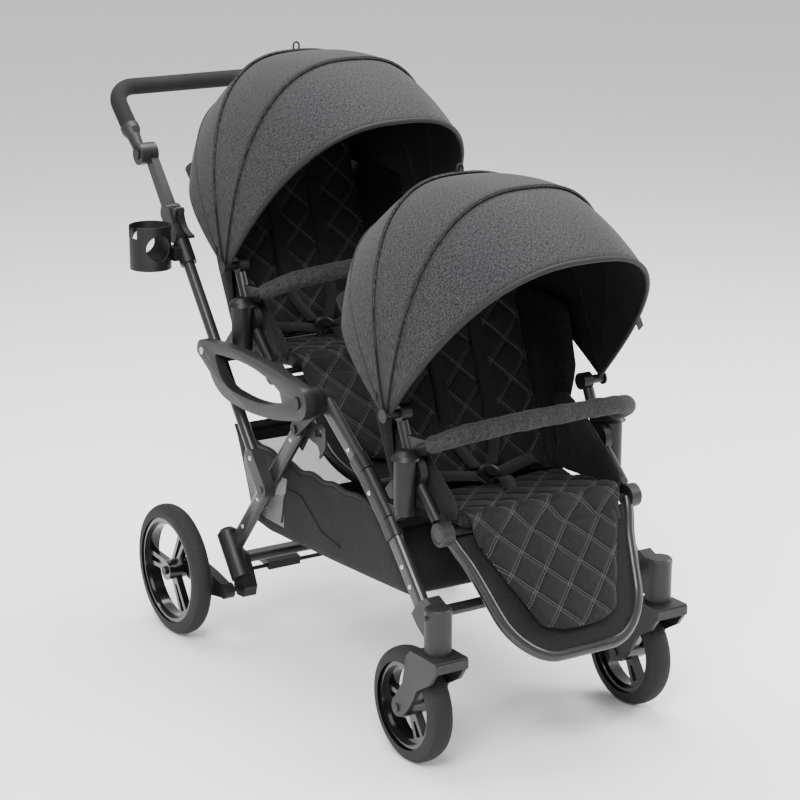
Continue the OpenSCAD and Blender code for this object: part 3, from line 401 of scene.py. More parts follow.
def canopy_panel(name, node, body, offset, shrink, start, end, reach_at, steps=12, columns=56, flattens=None):
    """A sheet that follows the bows; reach_at(t) says how the cloth stands off the bows' arc at t of the way."""
    bm = bmesh.new()
    uv = bm.loops.layers.uv.new("cloth")
    first = [bm.verts.new(bow_point(-1 + 2 * i / columns, start, shrink)) for i in range(columns + 1)]
    edges = [bm.edges.new((a, b)) for a, b in zip(first, first[1:])]
    # Angles run from the back over the top, which is a negative turn about +X
    bmesh.ops.spin(bm, geom=first + edges, cent=canopy_pivot, axis=(1, 0, 0),
                   angle=math.radians(start - end) * -1, steps=steps, use_merge=False)
    for vert in bm.verts:
        arm = vert.co - canopy_pivot
        angle = math.degrees(math.atan2(arm.z, arm.y))
        along = min(max((angle - start) / (end - start), 0), 1)
        edge = 1 - abs(arm.x) / (bow_half_width - shrink)
        factor = 1 + (reach_at(along) - 1) * min(1, edge * 4 + 0.15)
        vert.co.y = canopy_pivot.y + arm.y * factor
        vert.co.z = canopy_pivot.z + arm.z * factor
    for face in bm.faces:
        for loop in face.loops:
            arm = loop.vert.co - canopy_pivot
            angle = math.atan2(arm.z, arm.y)
            loop[uv].uv = (arm.x * 1.3, angle * bow_radius)
    bmesh.ops.recalc_face_normals(bm, faces=bm.faces)
    if sum((f.normal.dot(f.calc_center_median() - canopy_pivot) for f in bm.faces)) < 0:
        bmesh.ops.reverse_faces(bm, faces=bm.faces)
    bmesh.ops.translate(bm, vec=offset, verts=bm.verts)
    piece = object_from(name, bm, [heather_cloth, lining])
    wall = piece.modifiers.new("lining", "SOLIDIFY")
    wall.thickness = 0.0026
    wall.offset = -1
    wall.use_even_offset = True
    wall.material_offset = 1
    baked(piece)
    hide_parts(node)
    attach(piece, body)
    if flattens:
        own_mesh(piece)
    return piece


def piping(name, points, radius, material, body, sides=2, flattens=None):
    """A round tape along the points; when flattens is given, the tape is turned from a curve into a mesh of its own."""
    curve = bpy.data.curves.new(name, "CURVE")
    curve.dimensions = "3D"
    curve.bevel_depth = radius
    curve.bevel_resolution = sides
    curve.use_fill_caps = True
    line = curve.splines.new("POLY")
    line.points.add(len(points) - 1)
    for knot, point in zip(line.points, points):
        knot.co = (*point, 1)
    curve.materials.append(material)
    piece = bpy.data.objects.new(name if not flattens else name + "_line", curve)
    scene.collection.objects.link(piece)
    if flattens:
        mesh = bpy.data.meshes.new_from_object(piece.evaluated_get(bpy.context.evaluated_depsgraph_get()))
        bpy.data.objects.remove(piece)
        piece = bpy.data.objects.new(name, mesh)
        scene.collection.objects.link(piece)
    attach(piece, body)
    if flattens:
        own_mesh(piece)
    return piece


piping_cloth = coated("black piping", (0.006, 0.006, 0.0065), (0.012, 0.012, 0.0125), 0.6, 0.75, 1400, 0.0002)


def dip(depth):
    return lambda t: 1 - depth * math.sin(math.pi * t)


def rear_reach(t):
    """The rear panel runs on below its bow as a loose flap that bulges, then tucks in."""
    flap = 0.42
    if t < flap:
        s = t / flap
        return 0.83 + 0.125 * math.sin(math.pi / 2 * s) - 0.008 * math.sin(math.pi * s)
    return 0.955 + 0.045 * (t - flap) / (1 - flap) - 0.012 * math.sin(math.pi * (t - flap) / (1 - flap))


for row, offset in seats:
    canopy_panel(f"{row}_canopy_back_panel", f"{row}_canopy_rear", f"{row}_seat", offset, 0.0, 33, 73, rear_reach,
                 steps=18)
    crown_folds, visor_folds = (
        (f"{row}_canopy_fold", Vector((0, math.cos(math.radians(a)), math.sin(math.radians(a)))),
         canopy_pivot + offset, keep) for a, keep in ((86.5, 0.925), (116, 0.865)))
    canopy_panel(f"{row}_canopy_crown_panel", f"{row}_canopy_middle", f"{row}_canopy_mid", offset, 0.004, 71, 102,
                 dip(0.012), flattens=crown_folds)
    canopy_panel(f"{row}_canopy_fore_panel", f"{row}_canopy_front", f"{row}_canopy_fore", offset, 0.008, 100, 132,
                 dip(0.010), flattens=visor_folds)
    spread = [-1 + 2 * i / 60 for i in range(61)]
    for label, angle, shrink, body, radius in (
        ("back_bow", 50, 0.0, f"{row}_seat", 0.0016), ("crown_bow", 72.5, 0.0, f"{row}_seat", 0.0014),
        ("fore_bow", 101.5, 0.004, f"{row}_canopy_mid", 0.0014),
    ):
        line = [bow_point(s, angle, shrink - 0.0002, 1 if angle > 60 else 0.958) + offset for s in spread]
        piping(f"{row}_{label}_piping", line, radius, piping_cloth, body,
               flattens=crown_folds if label == "fore_bow" else None)
    rim = [bow_point(s, 131.5, 0.0095) + offset for s in spread]
    piping(f"{row}_visor_binding", rim, 0.0046, piping_cloth, f"{row}_canopy_fore", sides=4,
           flattens=visor_folds)

# ---------------------------------------------------------------- seat pads
# Each seat has a wadded cushion with two side wings, and a backrest pad. The covers are black polyester,
# quilted through to the wadding in diamonds with a double row of pale grey thread.
stitch_group, s_in, s_out = effect_group(
    "diamond stitching",
    [("Vector", "NodeSocketVector", None), ("Pitch", "NodeSocketFloat", 0.05)],
    [("Stitch", "NodeSocketFloat"), ("Channel", "NodeSocketFloat")],
)


def step(tree, operation, *values):
    return add(tree, "ShaderNodeMath", list(enumerate(values)), operation=operation).outputs["Value"]


halves = add(stitch_group, "ShaderNodeSeparateXYZ", [("Vector", s_in.outputs["Vector"])]).outputs
slants = [step(stitch_group, way, halves["X"], halves["Y"]) for way in ("ADD", "SUBTRACT")]
span = step(stitch_group, "MULTIPLY", s_in.outputs["Pitch"], math.sqrt(2))
rows, dashes, gaps = [], [], []
for slant in slants:
    away = step(stitch_group, "MULTIPLY", step(stitch_group, "PINGPONG", step(
        stitch_group, "DIVIDE", slant, span), 0.5), s_in.outputs["Pitch"])
    gaps.append(away)
    rows.append(step(stitch_group, "LESS_THAN", step(
        stitch_group, "ABSOLUTE", step(stitch_group, "SUBTRACT", away, 0.0021)), 0.0005))
    dashes.append(step(stitch_group, "LESS_THAN", step(
        stitch_group, "FRACT", step(stitch_group, "DIVIDE", slant, 0.0055)), 0.68))
sewn = step(stitch_group, "MAXIMUM", step(stitch_group, "MULTIPLY", rows[0], dashes[1]),
            step(stitch_group, "MULTIPLY", rows[1], dashes[0]))
near = add(stitch_group, "ShaderNodeMapRange", [
    ("Value", step(stitch_group, "MINIMUM", gaps[0], gaps[1])), ("From Max", 0.006), ("To Min", 1.0), ("To Max", 0.0)])
stitch_group.links.new(sewn, s_out.inputs["Stitch"])
stitch_group.links.new(near.outputs["Result"], s_out.inputs["Channel"])

quilt_pitch = 0.05
seat_cloth = woven("plain seat cloth", (0.0045, 0.0045, 0.0048), (0.0105, 0.0105, 0.011), 0.0007, 0.0001,
                   sheen=0.04, rough=0.8, crease=0.0016, own="attribute")
quilt_cloth = woven("quilted seat cloth", (0.0045, 0.0045, 0.0048), (0.0105, 0.0105, 0.011), 0.0007, 0.0001,
                    sheen=0.04, rough=0.78, crease=0.0010, own="attribute")
tree = quilt_cloth.node_tree
shader = tree.nodes["Principled BSDF"]
flat = add(tree, "ShaderNodeAttribute", attribute_name="cloth").outputs["Vector"]
sewing = add(tree, "ShaderNodeGroup", node_tree=stitch_group)
tree.links.new(flat, sewing.inputs["Vector"])
sewing.inputs["Pitch"].default_value = quilt_pitch
plain = shader.inputs["Base Color"].links[0].from_socket
thread = add(tree, "ShaderNodeMix", [("Factor", sewing.outputs["Stitch"]), ("A", plain)], data_type="RGBA")
thread.inputs["B"].default_value = (0.085, 0.085, 0.09, 1)
tree.links.new(thread.outputs["Result"], shader.inputs["Base Color"])


def wadded(name, bm, voxel, swell, cap, shrink=0.0015):
    """A closed form filled with wadding: it starts a little small, then swells against its cover."""
    bmesh.ops.remove_doubles(bm, verts=bm.verts, dist=0.00002)
    piece = object_from(name, bm, [])
    coarse = piece.modifiers.new("even mesh", "REMESH")
    coarse.mode = "VOXEL"
    coarse.voxel_size = voxel
    baked(piece)
    mesh = piece.data
    for vert, normal in [(v, v.normal.copy()) for v in mesh.vertices]:
        vert.co -= normal * shrink
    start = [v.co.copy() for v in mesh.vertices]
    cloth = piece.modifiers.new("fill", "CLOTH")
    cloth.settings.quality = 5
    cloth.settings.use_pressure = True
    cloth.settings.uniform_pressure_force = swell
    cloth.settings.effector_weights.gravity = 0
    cloth.settings.tension_stiffness = 12
    cloth.settings.compression_stiffness = 12
    cloth.point_cache.frame_end = 24
    for number in range(1, 21):
        scene.frame_set(number)
    moved = piece.evaluated_get(bpy.context.evaluated_depsgraph_get()).data
    ends = [v.co.copy() for v in moved.vertices]
    piece.modifiers.clear()
    scene.frame_set(1)
    for vert, begin, end in zip(mesh.vertices, start, ends):
        way = end - begin
        if way.length > cap:
            way *= cap / way.length
        vert.co = begin + way
    finer = piece.modifiers.new("finer", "SUBSURF")
    finer.levels = finer.render_levels = 1
    baked(piece)
    return piece


def marked(piece, panel, quilted=None, depth=0.0032, width=0.0042, creases=0.0012, seed=0.0):
    """Lays panel coordinates on a pad, and sews it down along the diamonds as far as quilted(place, normal) says."""
    mesh = piece.data
    where = mesh.attributes.new("cloth", "FLOAT_VECTOR", "POINT")
    normals = [v.normal.copy() for v in mesh.vertices]
    for vert, normal in zip(mesh.vertices, normals):
        spot = panel(vert.co) if callable(panel) else panel[vert.index]
        where.data[vert.index].vector = spot
        push = creases * noise.fractal(Vector(vert.co) * 22 + Vector((seed, 0, 0)), 0.9, 2.1, 3)
        if quilted and quilted(vert.co, normal) > 0:
            gaps = []
            for slant in (spot.x + spot.y, spot.x - spot.y):
                cells = slant / (quilt_pitch * math.sqrt(2))
                gaps.append(abs(cells - round(cells)) * quilt_pitch)
            sunk = max(math.exp(-(gap / width) ** 2) for gap in gaps)
            puff = math.sin(math.pi * min(gaps[0] / quilt_pitch, 0.5)) * math.sin(math.pi * min(gaps[1] / quilt_pitch, 0.5))
            push += quilted(vert.co, normal) * (0.0022 * puff - depth * sunk)
        vert.co += normal * push
    mesh.polygons.foreach_set("use_smooth", [True] * len(mesh.polygons))
    return piece


def shown_on_both(piece, pieces, materials, blended=False):
    """The same piece for both seats; pieces is (kind, node, body). Each copy is put on its body, unless blended, when
    it stays in place with no body.
    """
    kind, replaced, body = pieces
    for material in materials:
        piece.data.materials.append(material)
    made = []
    for row, offset in seats:
        mesh = piece.data.copy()
        mesh.transform(Matrix.Translation(offset))
        pad = bpy.data.objects.new(f"{row}_{kind}", mesh)
        scene.collection.objects.link(pad)
        if replaced:
            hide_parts(f"{row}_{replaced}")
        if blended:
            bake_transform(pad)
        else:
            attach(pad, f"{row}_{body}")
        made.append(pad)
    bpy.data.objects.remove(piece)
    return made


def form_from(node, keep):
    """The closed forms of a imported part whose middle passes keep."""
    bm = bmesh.new()
    bm.from_mesh(nodes[node].data)
    bmesh.ops.translate(bm, vec=-middle, verts=bm.verts)
    bmesh.ops.remove_doubles(bm, verts=bm.verts, dist=0.00002)
    left = set(bm.verts)
    while left:
        group = {left.pop()}
        edge = set(group)
        while edge:
            edge = {e.other_vert(v) for v in edge for e in v.link_edges} - group
            group |= edge
        left -= group
        centre = sum((v.co for v in group), Vector()) / len(group)
        if not keep(centre):
            bmesh.ops.delete(bm, geom=list(group), context="VERTS")
    return bm


cushion = wadded("cushion", form_from("front_cushion", lambda c: abs(c.x) < 0.1), 0.005, 4.0, 0.006)
cushion_low, cushion_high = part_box("front_cushion")
marked(cushion, lambda p: Vector((p.x, p.y + 0.4, p.z)),
       lambda p, n: max(0, min(1, (n.z - 0.1) * 2)) * (0.0 if abs(p.x) > 0.150 else 1.0), seed=1.0)
shown_on_both(cushion, ("seat_cushion", "cushion", "seat"), [quilt_cloth])
for side, sign in (("left", 1), ("right", -1)):
    wing = wadded("wing", form_from("front_cushion", lambda c: c.x * sign > 0.1), 0.004, 4.0, 0.004, shrink=0.001)
    marked(wing, lambda p: Vector((p.y, p.z, p.x)), creases=0.002, seed=3.0 + sign)
    shown_on_both(wing, (f"seat_wing_{side}", None, "seat"), [seat_cloth])

back_hinge = Vector((0, -0.308, 0.414))
back_way = Vector((0, math.cos(math.radians(70)), math.sin(math.radians(70))))
back_out = Vector((0, -math.sin(math.radians(70)), math.cos(math.radians(70))))
back = wadded("back", form_from("front_backrest", lambda c: (c - back_hinge).dot(back_out) < 0.008), 0.005, 4.0, 0.006)
marked(back, lambda p: Vector((p.x, (p - back_hinge).dot(back_way) + 0.012, (p - back_hinge).dot(back_out))),
       lambda p, n: max(0, min(1, n.dot(back_out) * 1.5 - 0.3)) * (0.0 if abs(p.x) > 0.145 else 1.0), seed=5.0)
shown_on_both(back, ("seat_back", "backrest", "back"), [quilt_cloth])

# ---------------------------------------------------------------- calf panels
# Below each seat a quilted panel hangs in front of a plain backing, which is stretched over the U of the
# footrest tube.
knuckle = Vector((0, -0.495, 0.403))
calf_way = Vector((0, -math.cos(math.radians(55)), -math.sin(math.radians(55))))
calf_out = Vector((0, -math.sin(math.radians(55)), math.cos(math.radians(55))))


def calf_spot(x, along, out):
    return knuckle + Vector((x, 0, 0)) + calf_way * along + calf_out * out


leg_top, leg_bottom, leg_turn = 0.1800, 0.1330, 0.2400


def leg_x(along):
    """Half the width between the footrest's legs, which lean in towards the bottom and then turn across."""
    lean = leg_top - (leg_top - leg_bottom) * along / 0.2
    if along <= 0.155:
        return lean
    at = (along - 0.155) / (leg_turn - 0.155)
    straight = leg_top - (leg_top - leg_bottom) * 0.155 / 0.2
    return 0.052 + (straight - 0.052 - 0.0185 * at) * math.sqrt(max(0, 1 - at * at))


bm = bmesh.new()
bmesh.ops.create_grid(bm, x_segments=44, y_segments=40, size=1)
for vert in bm.verts:
    u, v = vert.co.x, (vert.co.y + 1) / 2
    along = 0.012 + (leg_turn - 0.016) * math.sin(math.pi / 2 * v)
    dish = 0.004 * (1 - u * u) * math.sin(math.pi * v)
    vert.co = calf_spot(u * (leg_x(along) - 0.004), along, -0.001 - dish)
bmesh.ops.recalc_face_normals(bm, faces=bm.faces)
bmesh.ops.solidify(bm, geom=bm.faces[:], thickness=0.005)
bmesh.ops.recalc_face_normals(bm, faces=bm.faces)
backing = object_from("backing", bm, [])
marked(backing, lambda p: Vector((p.x, (p - knuckle).dot(calf_way), 0)), creases=0.0012, seed=7.0)
shown_on_both(backing, ("calf_backing", "calf_pad", "footrest"), [seat_cloth])

bm = bmesh.new()
bmesh.ops.create_grid(bm, x_segments=40, y_segments=30, size=1)
for vert in bm.verts:
    u, v = vert.co.x, (vert.co.y + 1) / 2
    half = 0.146 - 0.062 * max(0, v - 0.2) / 0.8
    along = 0.014 + 0.196 * v - 0.020 * abs(u) ** 3 * v
    vert.co = calf_spot(u * half, along, 0.0065)
bmesh.ops.recalc_face_normals(bm, faces=bm.faces)
bmesh.ops.solidify(bm, geom=bm.faces[:], thickness=0.009)
bmesh.ops.recalc_face_normals(bm, faces=bm.faces)
wadding_at = sum((v.co for v in bm.verts), Vector()) / len(bm.verts)
bmesh.ops.translate(bm, vec=calf_out * (0.0125 - (wadding_at - knuckle).dot(calf_out)), verts=bm.verts)
calf = wadded("calf", bm, 0.0045, 4.0, 0.0055)
marked(calf, lambda p: Vector((p.x, (p - knuckle).dot(calf_way) + 0.01, 0)),
       lambda p, n: max(0, min(1, n.dot(calf_out) * 1.5 - 0.3)), seed=9.0)
shown_on_both(calf, ("calf_quilt", None, "footrest"), [quilt_cloth])

# ---------------------------------------------------------------- footrest tubes
# Each footrest is one round tube bent to a U whose legs lean in, painted like the frame. A moulded disc with a
# raised ring at each top pivots on the seat frame.
for row, offset in seats:
    half_turn = [0.155 + (leg_turn - 0.155) * math.sin(math.pi / 2 * i / 12) for i in range(13)]
    side_line = [(leg_top + 0.006, 0.002), (leg_top + 0.0045, 0.012), (leg_top, 0.030)]
    side_line += [(leg_x(along), along) for along in (0.06, 0.09, 0.12)] + [(leg_x(along), along) for along in half_turn]
    path = [calf_spot(x, along, 0) for x, along in side_line]
    path += [calf_spot(x, leg_turn, 0) for x in (0.02, -0.02)]
    path += [calf_spot(-x, along, 0) for x, along in reversed(side_line)]
    curve = bpy.data.curves.new(f"{row}_footrest", "CURVE")
    curve.dimensions = "3D"
    curve.bevel_depth = 0.01
    curve.bevel_resolution = 6
    curve.use_fill_caps = True
    curve.resolution_u = 6
    bend = curve.splines.new("NURBS")
    bend.points.add(len(path) - 1)
    for knot, point in zip(bend.points, path):
        knot.co = (*(point + offset), 1)
    bend.use_endpoint_u = True
    bend.order_u = 4
    curve.materials.append(enamel)
    tube = bpy.data.objects.new(f"{row}_footrest_bent_tube", curve)
    scene.collection.objects.link(tube)
    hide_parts(f"{row}_footrest_tube")
    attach(tube, f"{row}_footrest")
    bm = bmesh.new()
    bmesh.ops.create_cone(bm, segments=48, radius1=0.0215, radius2=0.0205, depth=0.0215, cap_ends=True)
    face = [f for f in bm.faces if f.normal.z > 0.9]
    bmesh.ops.inset_region(bm, faces=face, thickness=0.005, depth=0.0012)
    bmesh.ops.inset_region(bm, faces=face, thickness=0.003, depth=-0.0016)
    rims = [e for e in bm.edges if len(e.link_faces) == 2 and e.calc_face_angle(0) > 0.8]
    bmesh.ops.bevel(bm, geom=rims, affect="EDGES", offset=0.0007, segments=2, profile=0.5, material=-1)
    bmesh.ops.transform(bm, verts=bm.verts, matrix=Matrix.Translation(knuckle + Vector((0.1948, 0, 0)))
                        @ Matrix.Rotation(math.radians(90), 4, "Y"))
    bmesh.ops.mirror(bm, geom=bm.verts[:] + bm.edges[:] + bm.faces[:], axis="X", merge_dist=-1)
    bmesh.ops.recalc_face_normals(bm, faces=bm.faces)
    bmesh.ops.translate(bm, vec=offset, verts=bm.verts)
    discs = object_from(f"{row}_footrest_discs", bm, [charcoal_plastic], smooth=False)
    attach(discs, f"{row}_footrest")

# ---------------------------------------------------------------- bumper pads
# The bumper bar of each seat wears a zipped sleeve of grey cloth over foam, drawn in at its ends.
sleeve_cloth = woven("bumper sleeve cloth", (0.010, 0.010, 0.0105), (0.028, 0.028, 0.03), 0.0008, 0.0001,
                     sheen=0.05, crease=0.0018, own="attribute")
sleeve = wadded("sleeve", form_from("front_bumper_pad", lambda c: True), 0.0045, 3.0, 0.002, shrink=0.001)
marked(sleeve, lambda p: Vector((p.x, p.y + p.z, p.z)), creases=0.0022, seed=11.0)
shown_on_both(sleeve, ("bumper_sleeve", "bumper_pad", "bumper"), [sleeve_cloth])

# ---------------------------------------------------------------- seat shells
# Behind and beside each backrest runs a loose cloth shell, sewn to the seat's edges below and tucked under the
# canopy's rear flap above.
shell_cloth = woven("shell cloth", (0.0045, 0.0045, 0.0048), (0.010, 0.010, 0.0105), 0.0007, 0.0001, sheen=0.03,
                    crease=0.003)


def along_line(points, t):
    """The point at t of the way along a broken line."""
    lengths = [(b - a).length for a, b in zip(points, points[1:])]
    left = t * sum(lengths)
    for a, b, length in zip(points, points[1:], lengths):
        if left <= length:
            return a.lerp(b, left / length)
        left -= length
    return points[-1].copy()


def cloth_map(bm, flat_of):
    layer = bm.loops.layers.uv.new("cloth")
    for face in bm.faces:
        for loop in face.loops:
            loop[layer].uv = flat_of(loop.vert.co)


shell_rear = [back_hinge + back_way * a + back_out * b for a, b in (
    (-0.012, -0.018), (0.10, -0.020), (0.22, -0.030), (0.31, -0.060), (0.375, -0.105))]
shell_front = [Vector((0, -0.330, 0.418)), Vector((0, -0.325, 0.50)), Vector((0, -0.335, 0.60)), Vector((0, -0.300, 0.70))]
for row, offset in seats:
    bm = bmesh.new()
    bmesh.ops.create_grid(bm, x_segments=44, y_segments=22, size=1)
    for vert in bm.verts:
        turn, v = vert.co.x * math.pi / 2, (vert.co.y + 1) / 2
        depth = abs(math.cos(turn)) ** 0.5
        x = math.copysign(abs(math.sin(turn)) ** 0.5, turn) * (0.172 + 0.026 * math.sin(math.pi / 2 * v))
        spot = along_line(shell_front, v).lerp(along_line(shell_rear, v), depth)
        ripple = 0.003 * noise.noise(Vector((x * 9, v * 5, 2.0)))
        vert.co = Vector((x, spot.y + ripple, spot.z)) + offset
    cloth_map(bm, lambda p: (p.x, p.z))
    bmesh.ops.recalc_face_normals(bm, faces=bm.faces)
    shell = object_from(f"{row}_seat_shell", bm, [shell_cloth])
    wall = shell.modifiers.new("cloth thickness", "SOLIDIFY")
    wall.thickness = 0.0016
    baked(shell)
    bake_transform(shell)

# ---------------------------------------------------------------- harness
# The five-point harness is polyester webbing: two shoulder straps in padded sleeves, two waist straps and a crotch
# strap, all meeting at a round moulded buckle.
webbing_cloth = woven("webbing", (0.006, 0.006, 0.0063), (0.014, 0.014, 0.0145), 0.0016, 0.0003, sheen=0.05,
                      rough=0.7, own="attribute")
buckle_centre = Vector((0, -0.349, 0.431))
buckle_out = Vector((0, -0.5, math.cos(math.radians(30))))
buckle_up = Vector((0, math.cos(math.radians(30)), 0.5))


def webbing(kind, line, across, blended, node=None):
    """A flat strap with its middle on the line and its width along across."""
    bm = bmesh.new()
    smooth = []
    for a, b, c, d in zip([line[0]] + line, line, line[1:], line[2:] + [line[-1]]):
        for i in range(6):
            t = i / 6
            smooth.append(0.5 * (2 * b + (c - a) * t + (2 * a - 5 * b + 4 * c - d) * t * t
                                 + (3 * b - a - 3 * c + d) * t * t * t))
    smooth.append(line[-1])
    knots = [bm.verts.new(point - across / 2) for point in smooth]
    edges = [bm.edges.new(pair) for pair in zip(knots, knots[1:])]
    grown = bmesh.ops.extrude_edge_only(bm, edges=edges)["geom"]
    bmesh.ops.translate(bm, vec=across, verts=[v for v in grown if isinstance(v, bmesh.types.BMVert)])
    bmesh.ops.recalc_face_normals(bm, faces=bm.faces)
    strap = object_from(kind, bm, [])
    wall = strap.modifiers.new("thickness", "SOLIDIFY")
    wall.thickness = 0.0015
    wall.offset = 0
    baked(strap)
    marked(strap, lambda p: Vector((p.dot(across) / across.length, p.y + p.z + p.x, 0)), creases=0)
    shown_on_both(strap, (kind, node, "seat"), [webbing_cloth],
                  blended=blended)


def on_back(x, along, out):
    return back_hinge + Vector((x, 0, 0)) + back_way * along + back_out * out


webbing("crotch_strap", [Vector((0, -0.412, 0.426)), Vector((0, -0.402, 0.4385)), Vector((0, -0.388, 0.4405)),
                         buckle_centre - buckle_up * 0.021 + buckle_out * 0.004], Vector((0.03, 0, 0)), False,
        node="harness")
for side, sign in (("left", 1), ("right", -1)):
    webbing(f"waist_strap_{side}", [
        Vector((sign * 0.128, -0.312, 0.432)), Vector((sign * 0.105, -0.326, 0.441)),
        Vector((sign * 0.060, -0.342, 0.440)), buckle_centre + Vector((sign * 0.020, 0, 0)) + buckle_out * 0.004],
        buckle_up * 0.025, False)
    webbing(f"shoulder_strap_{side}", [
        on_back(sign * 0.048, 0.325, 0.004), on_back(sign * 0.048, 0.306, 0.0145), on_back(sign * 0.047, 0.2, 0.0150),
        on_back(sign * 0.046, 0.10, 0.0155), on_back(sign * 0.038, 0.062, 0.024),
        buckle_centre + Vector((sign * 0.016, 0, 0)) + buckle_up * 0.020 + buckle_out * 0.005],
        Vector((0.025, 0, 0)), True)
    pad = wadded("shoulder pad", form_from("front_backrest", lambda c: (c - back_hinge).dot(back_out) > 0.008
                                           and c.x * sign > 0.01), 0.003, 4.0, 0.003, shrink=0.0008)
    marked(pad, lambda p: Vector((p.x, (p - back_hinge).dot(back_way), 0)), creases=0.001, seed=13.0 + sign)
    shown_on_both(pad, (f"shoulder_pad_{side}", None, "back"), [seat_cloth])

buckle_turn = Matrix.Translation(buckle_centre) @ Matrix.Rotation(math.radians(30), 4, "X")
for row, offset in seats:
    bm = bmesh.new()
    bmesh.ops.create_cone(bm, segments=40, radius1=0.023, radius2=0.023, depth=0.0105, cap_ends=True)
    bmesh.ops.translate(bm, vec=(0, 0, 0.0045), verts=bm.verts)
    top = [f for f in bm.faces if f.normal.z > 0.9]
    bmesh.ops.inset_region(bm, faces=top, thickness=0.0095, depth=-0.0068)
    ring = bmesh.ops.create_cone(bm, segments=8, radius1=0.029, radius2=0.026, depth=0.006, cap_ends=True)["verts"]
    bmesh.ops.scale(bm, vec=(1, 0.86, 1), verts=ring)
    bmesh.ops.translate(bm, vec=(0, 0, 0.0028), verts=ring)
    rims = [e for e in bm.edges if len(e.link_faces) == 2 and e.calc_face_angle(0) > 0.8]
    bmesh.ops.bevel(bm, geom=rims, affect="EDGES", offset=0.0009, segments=2, profile=0.5, material=-1)
    bmesh.ops.transform(bm, matrix=Matrix.Translation(offset) @ buckle_turn, verts=bm.verts)
    bmesh.ops.recalc_face_normals(bm, faces=bm.faces)
    buckle = object_from(f"{row}_buckle_body", bm, [black_plastic], smooth=False)
    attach(buckle, f"{row}_seat")

# ---------------------------------------------------------------- seat front aprons
# A flap of the cushion's quilted cover turns down over its front edge and is sewn to the top of the calf panel.
roll = [Vector((0, -0.496, 0.4362)), Vector((0, -0.508, 0.4345)), Vector((0, -0.5165, 0.4285)),
        Vector((0, -0.5190, 0.4190)), Vector((0, -0.5195, 0.4060)), calf_spot(0, 0.020, 0.0180),
        calf_spot(0, 0.040, 0.0172)]
bm = bmesh.new()
bmesh.ops.create_grid(bm, x_segments=120, y_segments=28, size=1)
roll_spots = []
for vert in bm.verts:
    u, v = vert.co.x, (vert.co.y + 1) / 2
    spot = along_line(roll, v)
    roll_spots.append(Vector((u * 0.155, 0.050 - 0.074 * (1 - v), 0)))
    vert.co = Vector((u * (0.157 - 0.010 * v), spot.y, spot.z))
for number in range(3):
    bmesh.ops.smooth_vert(bm, verts=[v for v in bm.verts if not v.is_boundary], factor=0.5, use_axis_x=True,
                          use_axis_y=True, use_axis_z=True)
bmesh.ops.recalc_face_normals(bm, faces=bm.faces)
if sum(f.normal.y for f in bm.faces) > 0:
    bmesh.ops.reverse_faces(bm, faces=bm.faces)
apron = object_from("apron", bm, [])
marked(apron, roll_spots, lambda p, n: 1.0 if abs(p.x) < 0.147 else 0.0, depth=0.0026, creases=0.0006, seed=15.0)
wall = apron.modifiers.new("cloth thickness", "SOLIDIFY")
wall.thickness = 0.0018
wall.offset = -1
baked(apron)
apron.data.materials.append(quilt_cloth)
for row, offset in seats:
    mesh = apron.data.copy()
    mesh.transform(Matrix.Translation(offset))
    flap = bpy.data.objects.new(f"{row}_seat_apron", mesh)
    scene.collection.objects.link(flap)
    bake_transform(flap)
bpy.data.objects.remove(apron)

# ---------------------------------------------------------------- basket
# The shopping basket is a tub of black nylon slung between the side tubes, with windows of pale net at the back
# and in the rear of each side, and a doubled band round its rim.
nylon = woven("basket nylon", (0.0035, 0.0035, 0.0037), (0.009, 0.009, 0.0095), 0.0006, 0.0001, sheen=0.03,
              rough=0.7, crease=0.003)
net = bpy.data.materials.new("pale net")
net.use_nodes = True
tree = net.node_tree
shader = tree.nodes["Principled BSDF"]
shader.inputs["Base Color"].default_value = (0.19, 0.19, 0.195, 1)
shader.inputs["Roughness"].default_value = 0.7
place = add(tree, "ShaderNodeUVMap", uv_map="cloth").outputs["UV"]
strands = add(tree, "ShaderNodeSeparateXYZ", [("Vector", place)]).outputs
holes = step(tree, "MULTIPLY", *[step(tree, "SINE", step(tree, "MULTIPLY", strands[axis], math.tau / 0.0052))
                                 for axis in ("X", "Y")])
solid = add(tree, "ShaderNodeMapRange", [
    ("Value", step(tree, "ABSOLUTE", holes)), ("From Min", 0.25), ("From Max", 0.5), ("To Min", 1.0), ("To Max", 0.12)])
tree.links.new(solid.outputs["Result"], shader.inputs["Alpha"])
shade = add(tree, "ShaderNodeMapRange", [("Value", holes), ("From Min", -1.0), ("To Min", 0.12), ("To Max", 0.26)])
tint = add(tree, "ShaderNodeCombineColor", [(axis, shade.outputs["Result"]) for axis in ("Red", "Green", "Blue")])
tree.links.new(tint.outputs["Color"], shader.inputs["Base Color"])

floor_line = [Vector((0, y, z)) for y, z in (
    (0.189, 0.424), (0.160, 0.330), (0.141, 0.262), (0.125, 0.249), (0.080, 0.243), (-0.060, 0.249),
    (-0.250, 0.256), (-0.392, 0.264), (-0.410, 0.276), (-0.384, 0.322), (-0.353, 0.371))]
rim_line = [Vector((0, y, z)) for y, z in (
    (0.189, 0.424), (0.178, 0.421), (0.120, 0.408), (0.060, 0.404), (-0.020, 0.397), (-0.140, 0.398),
    (-0.266, 0.400), (-0.310, 0.387), (-0.335, 0.378), (-0.345, 0.374), (-0.353, 0.371))]
basket_half = 0.2005


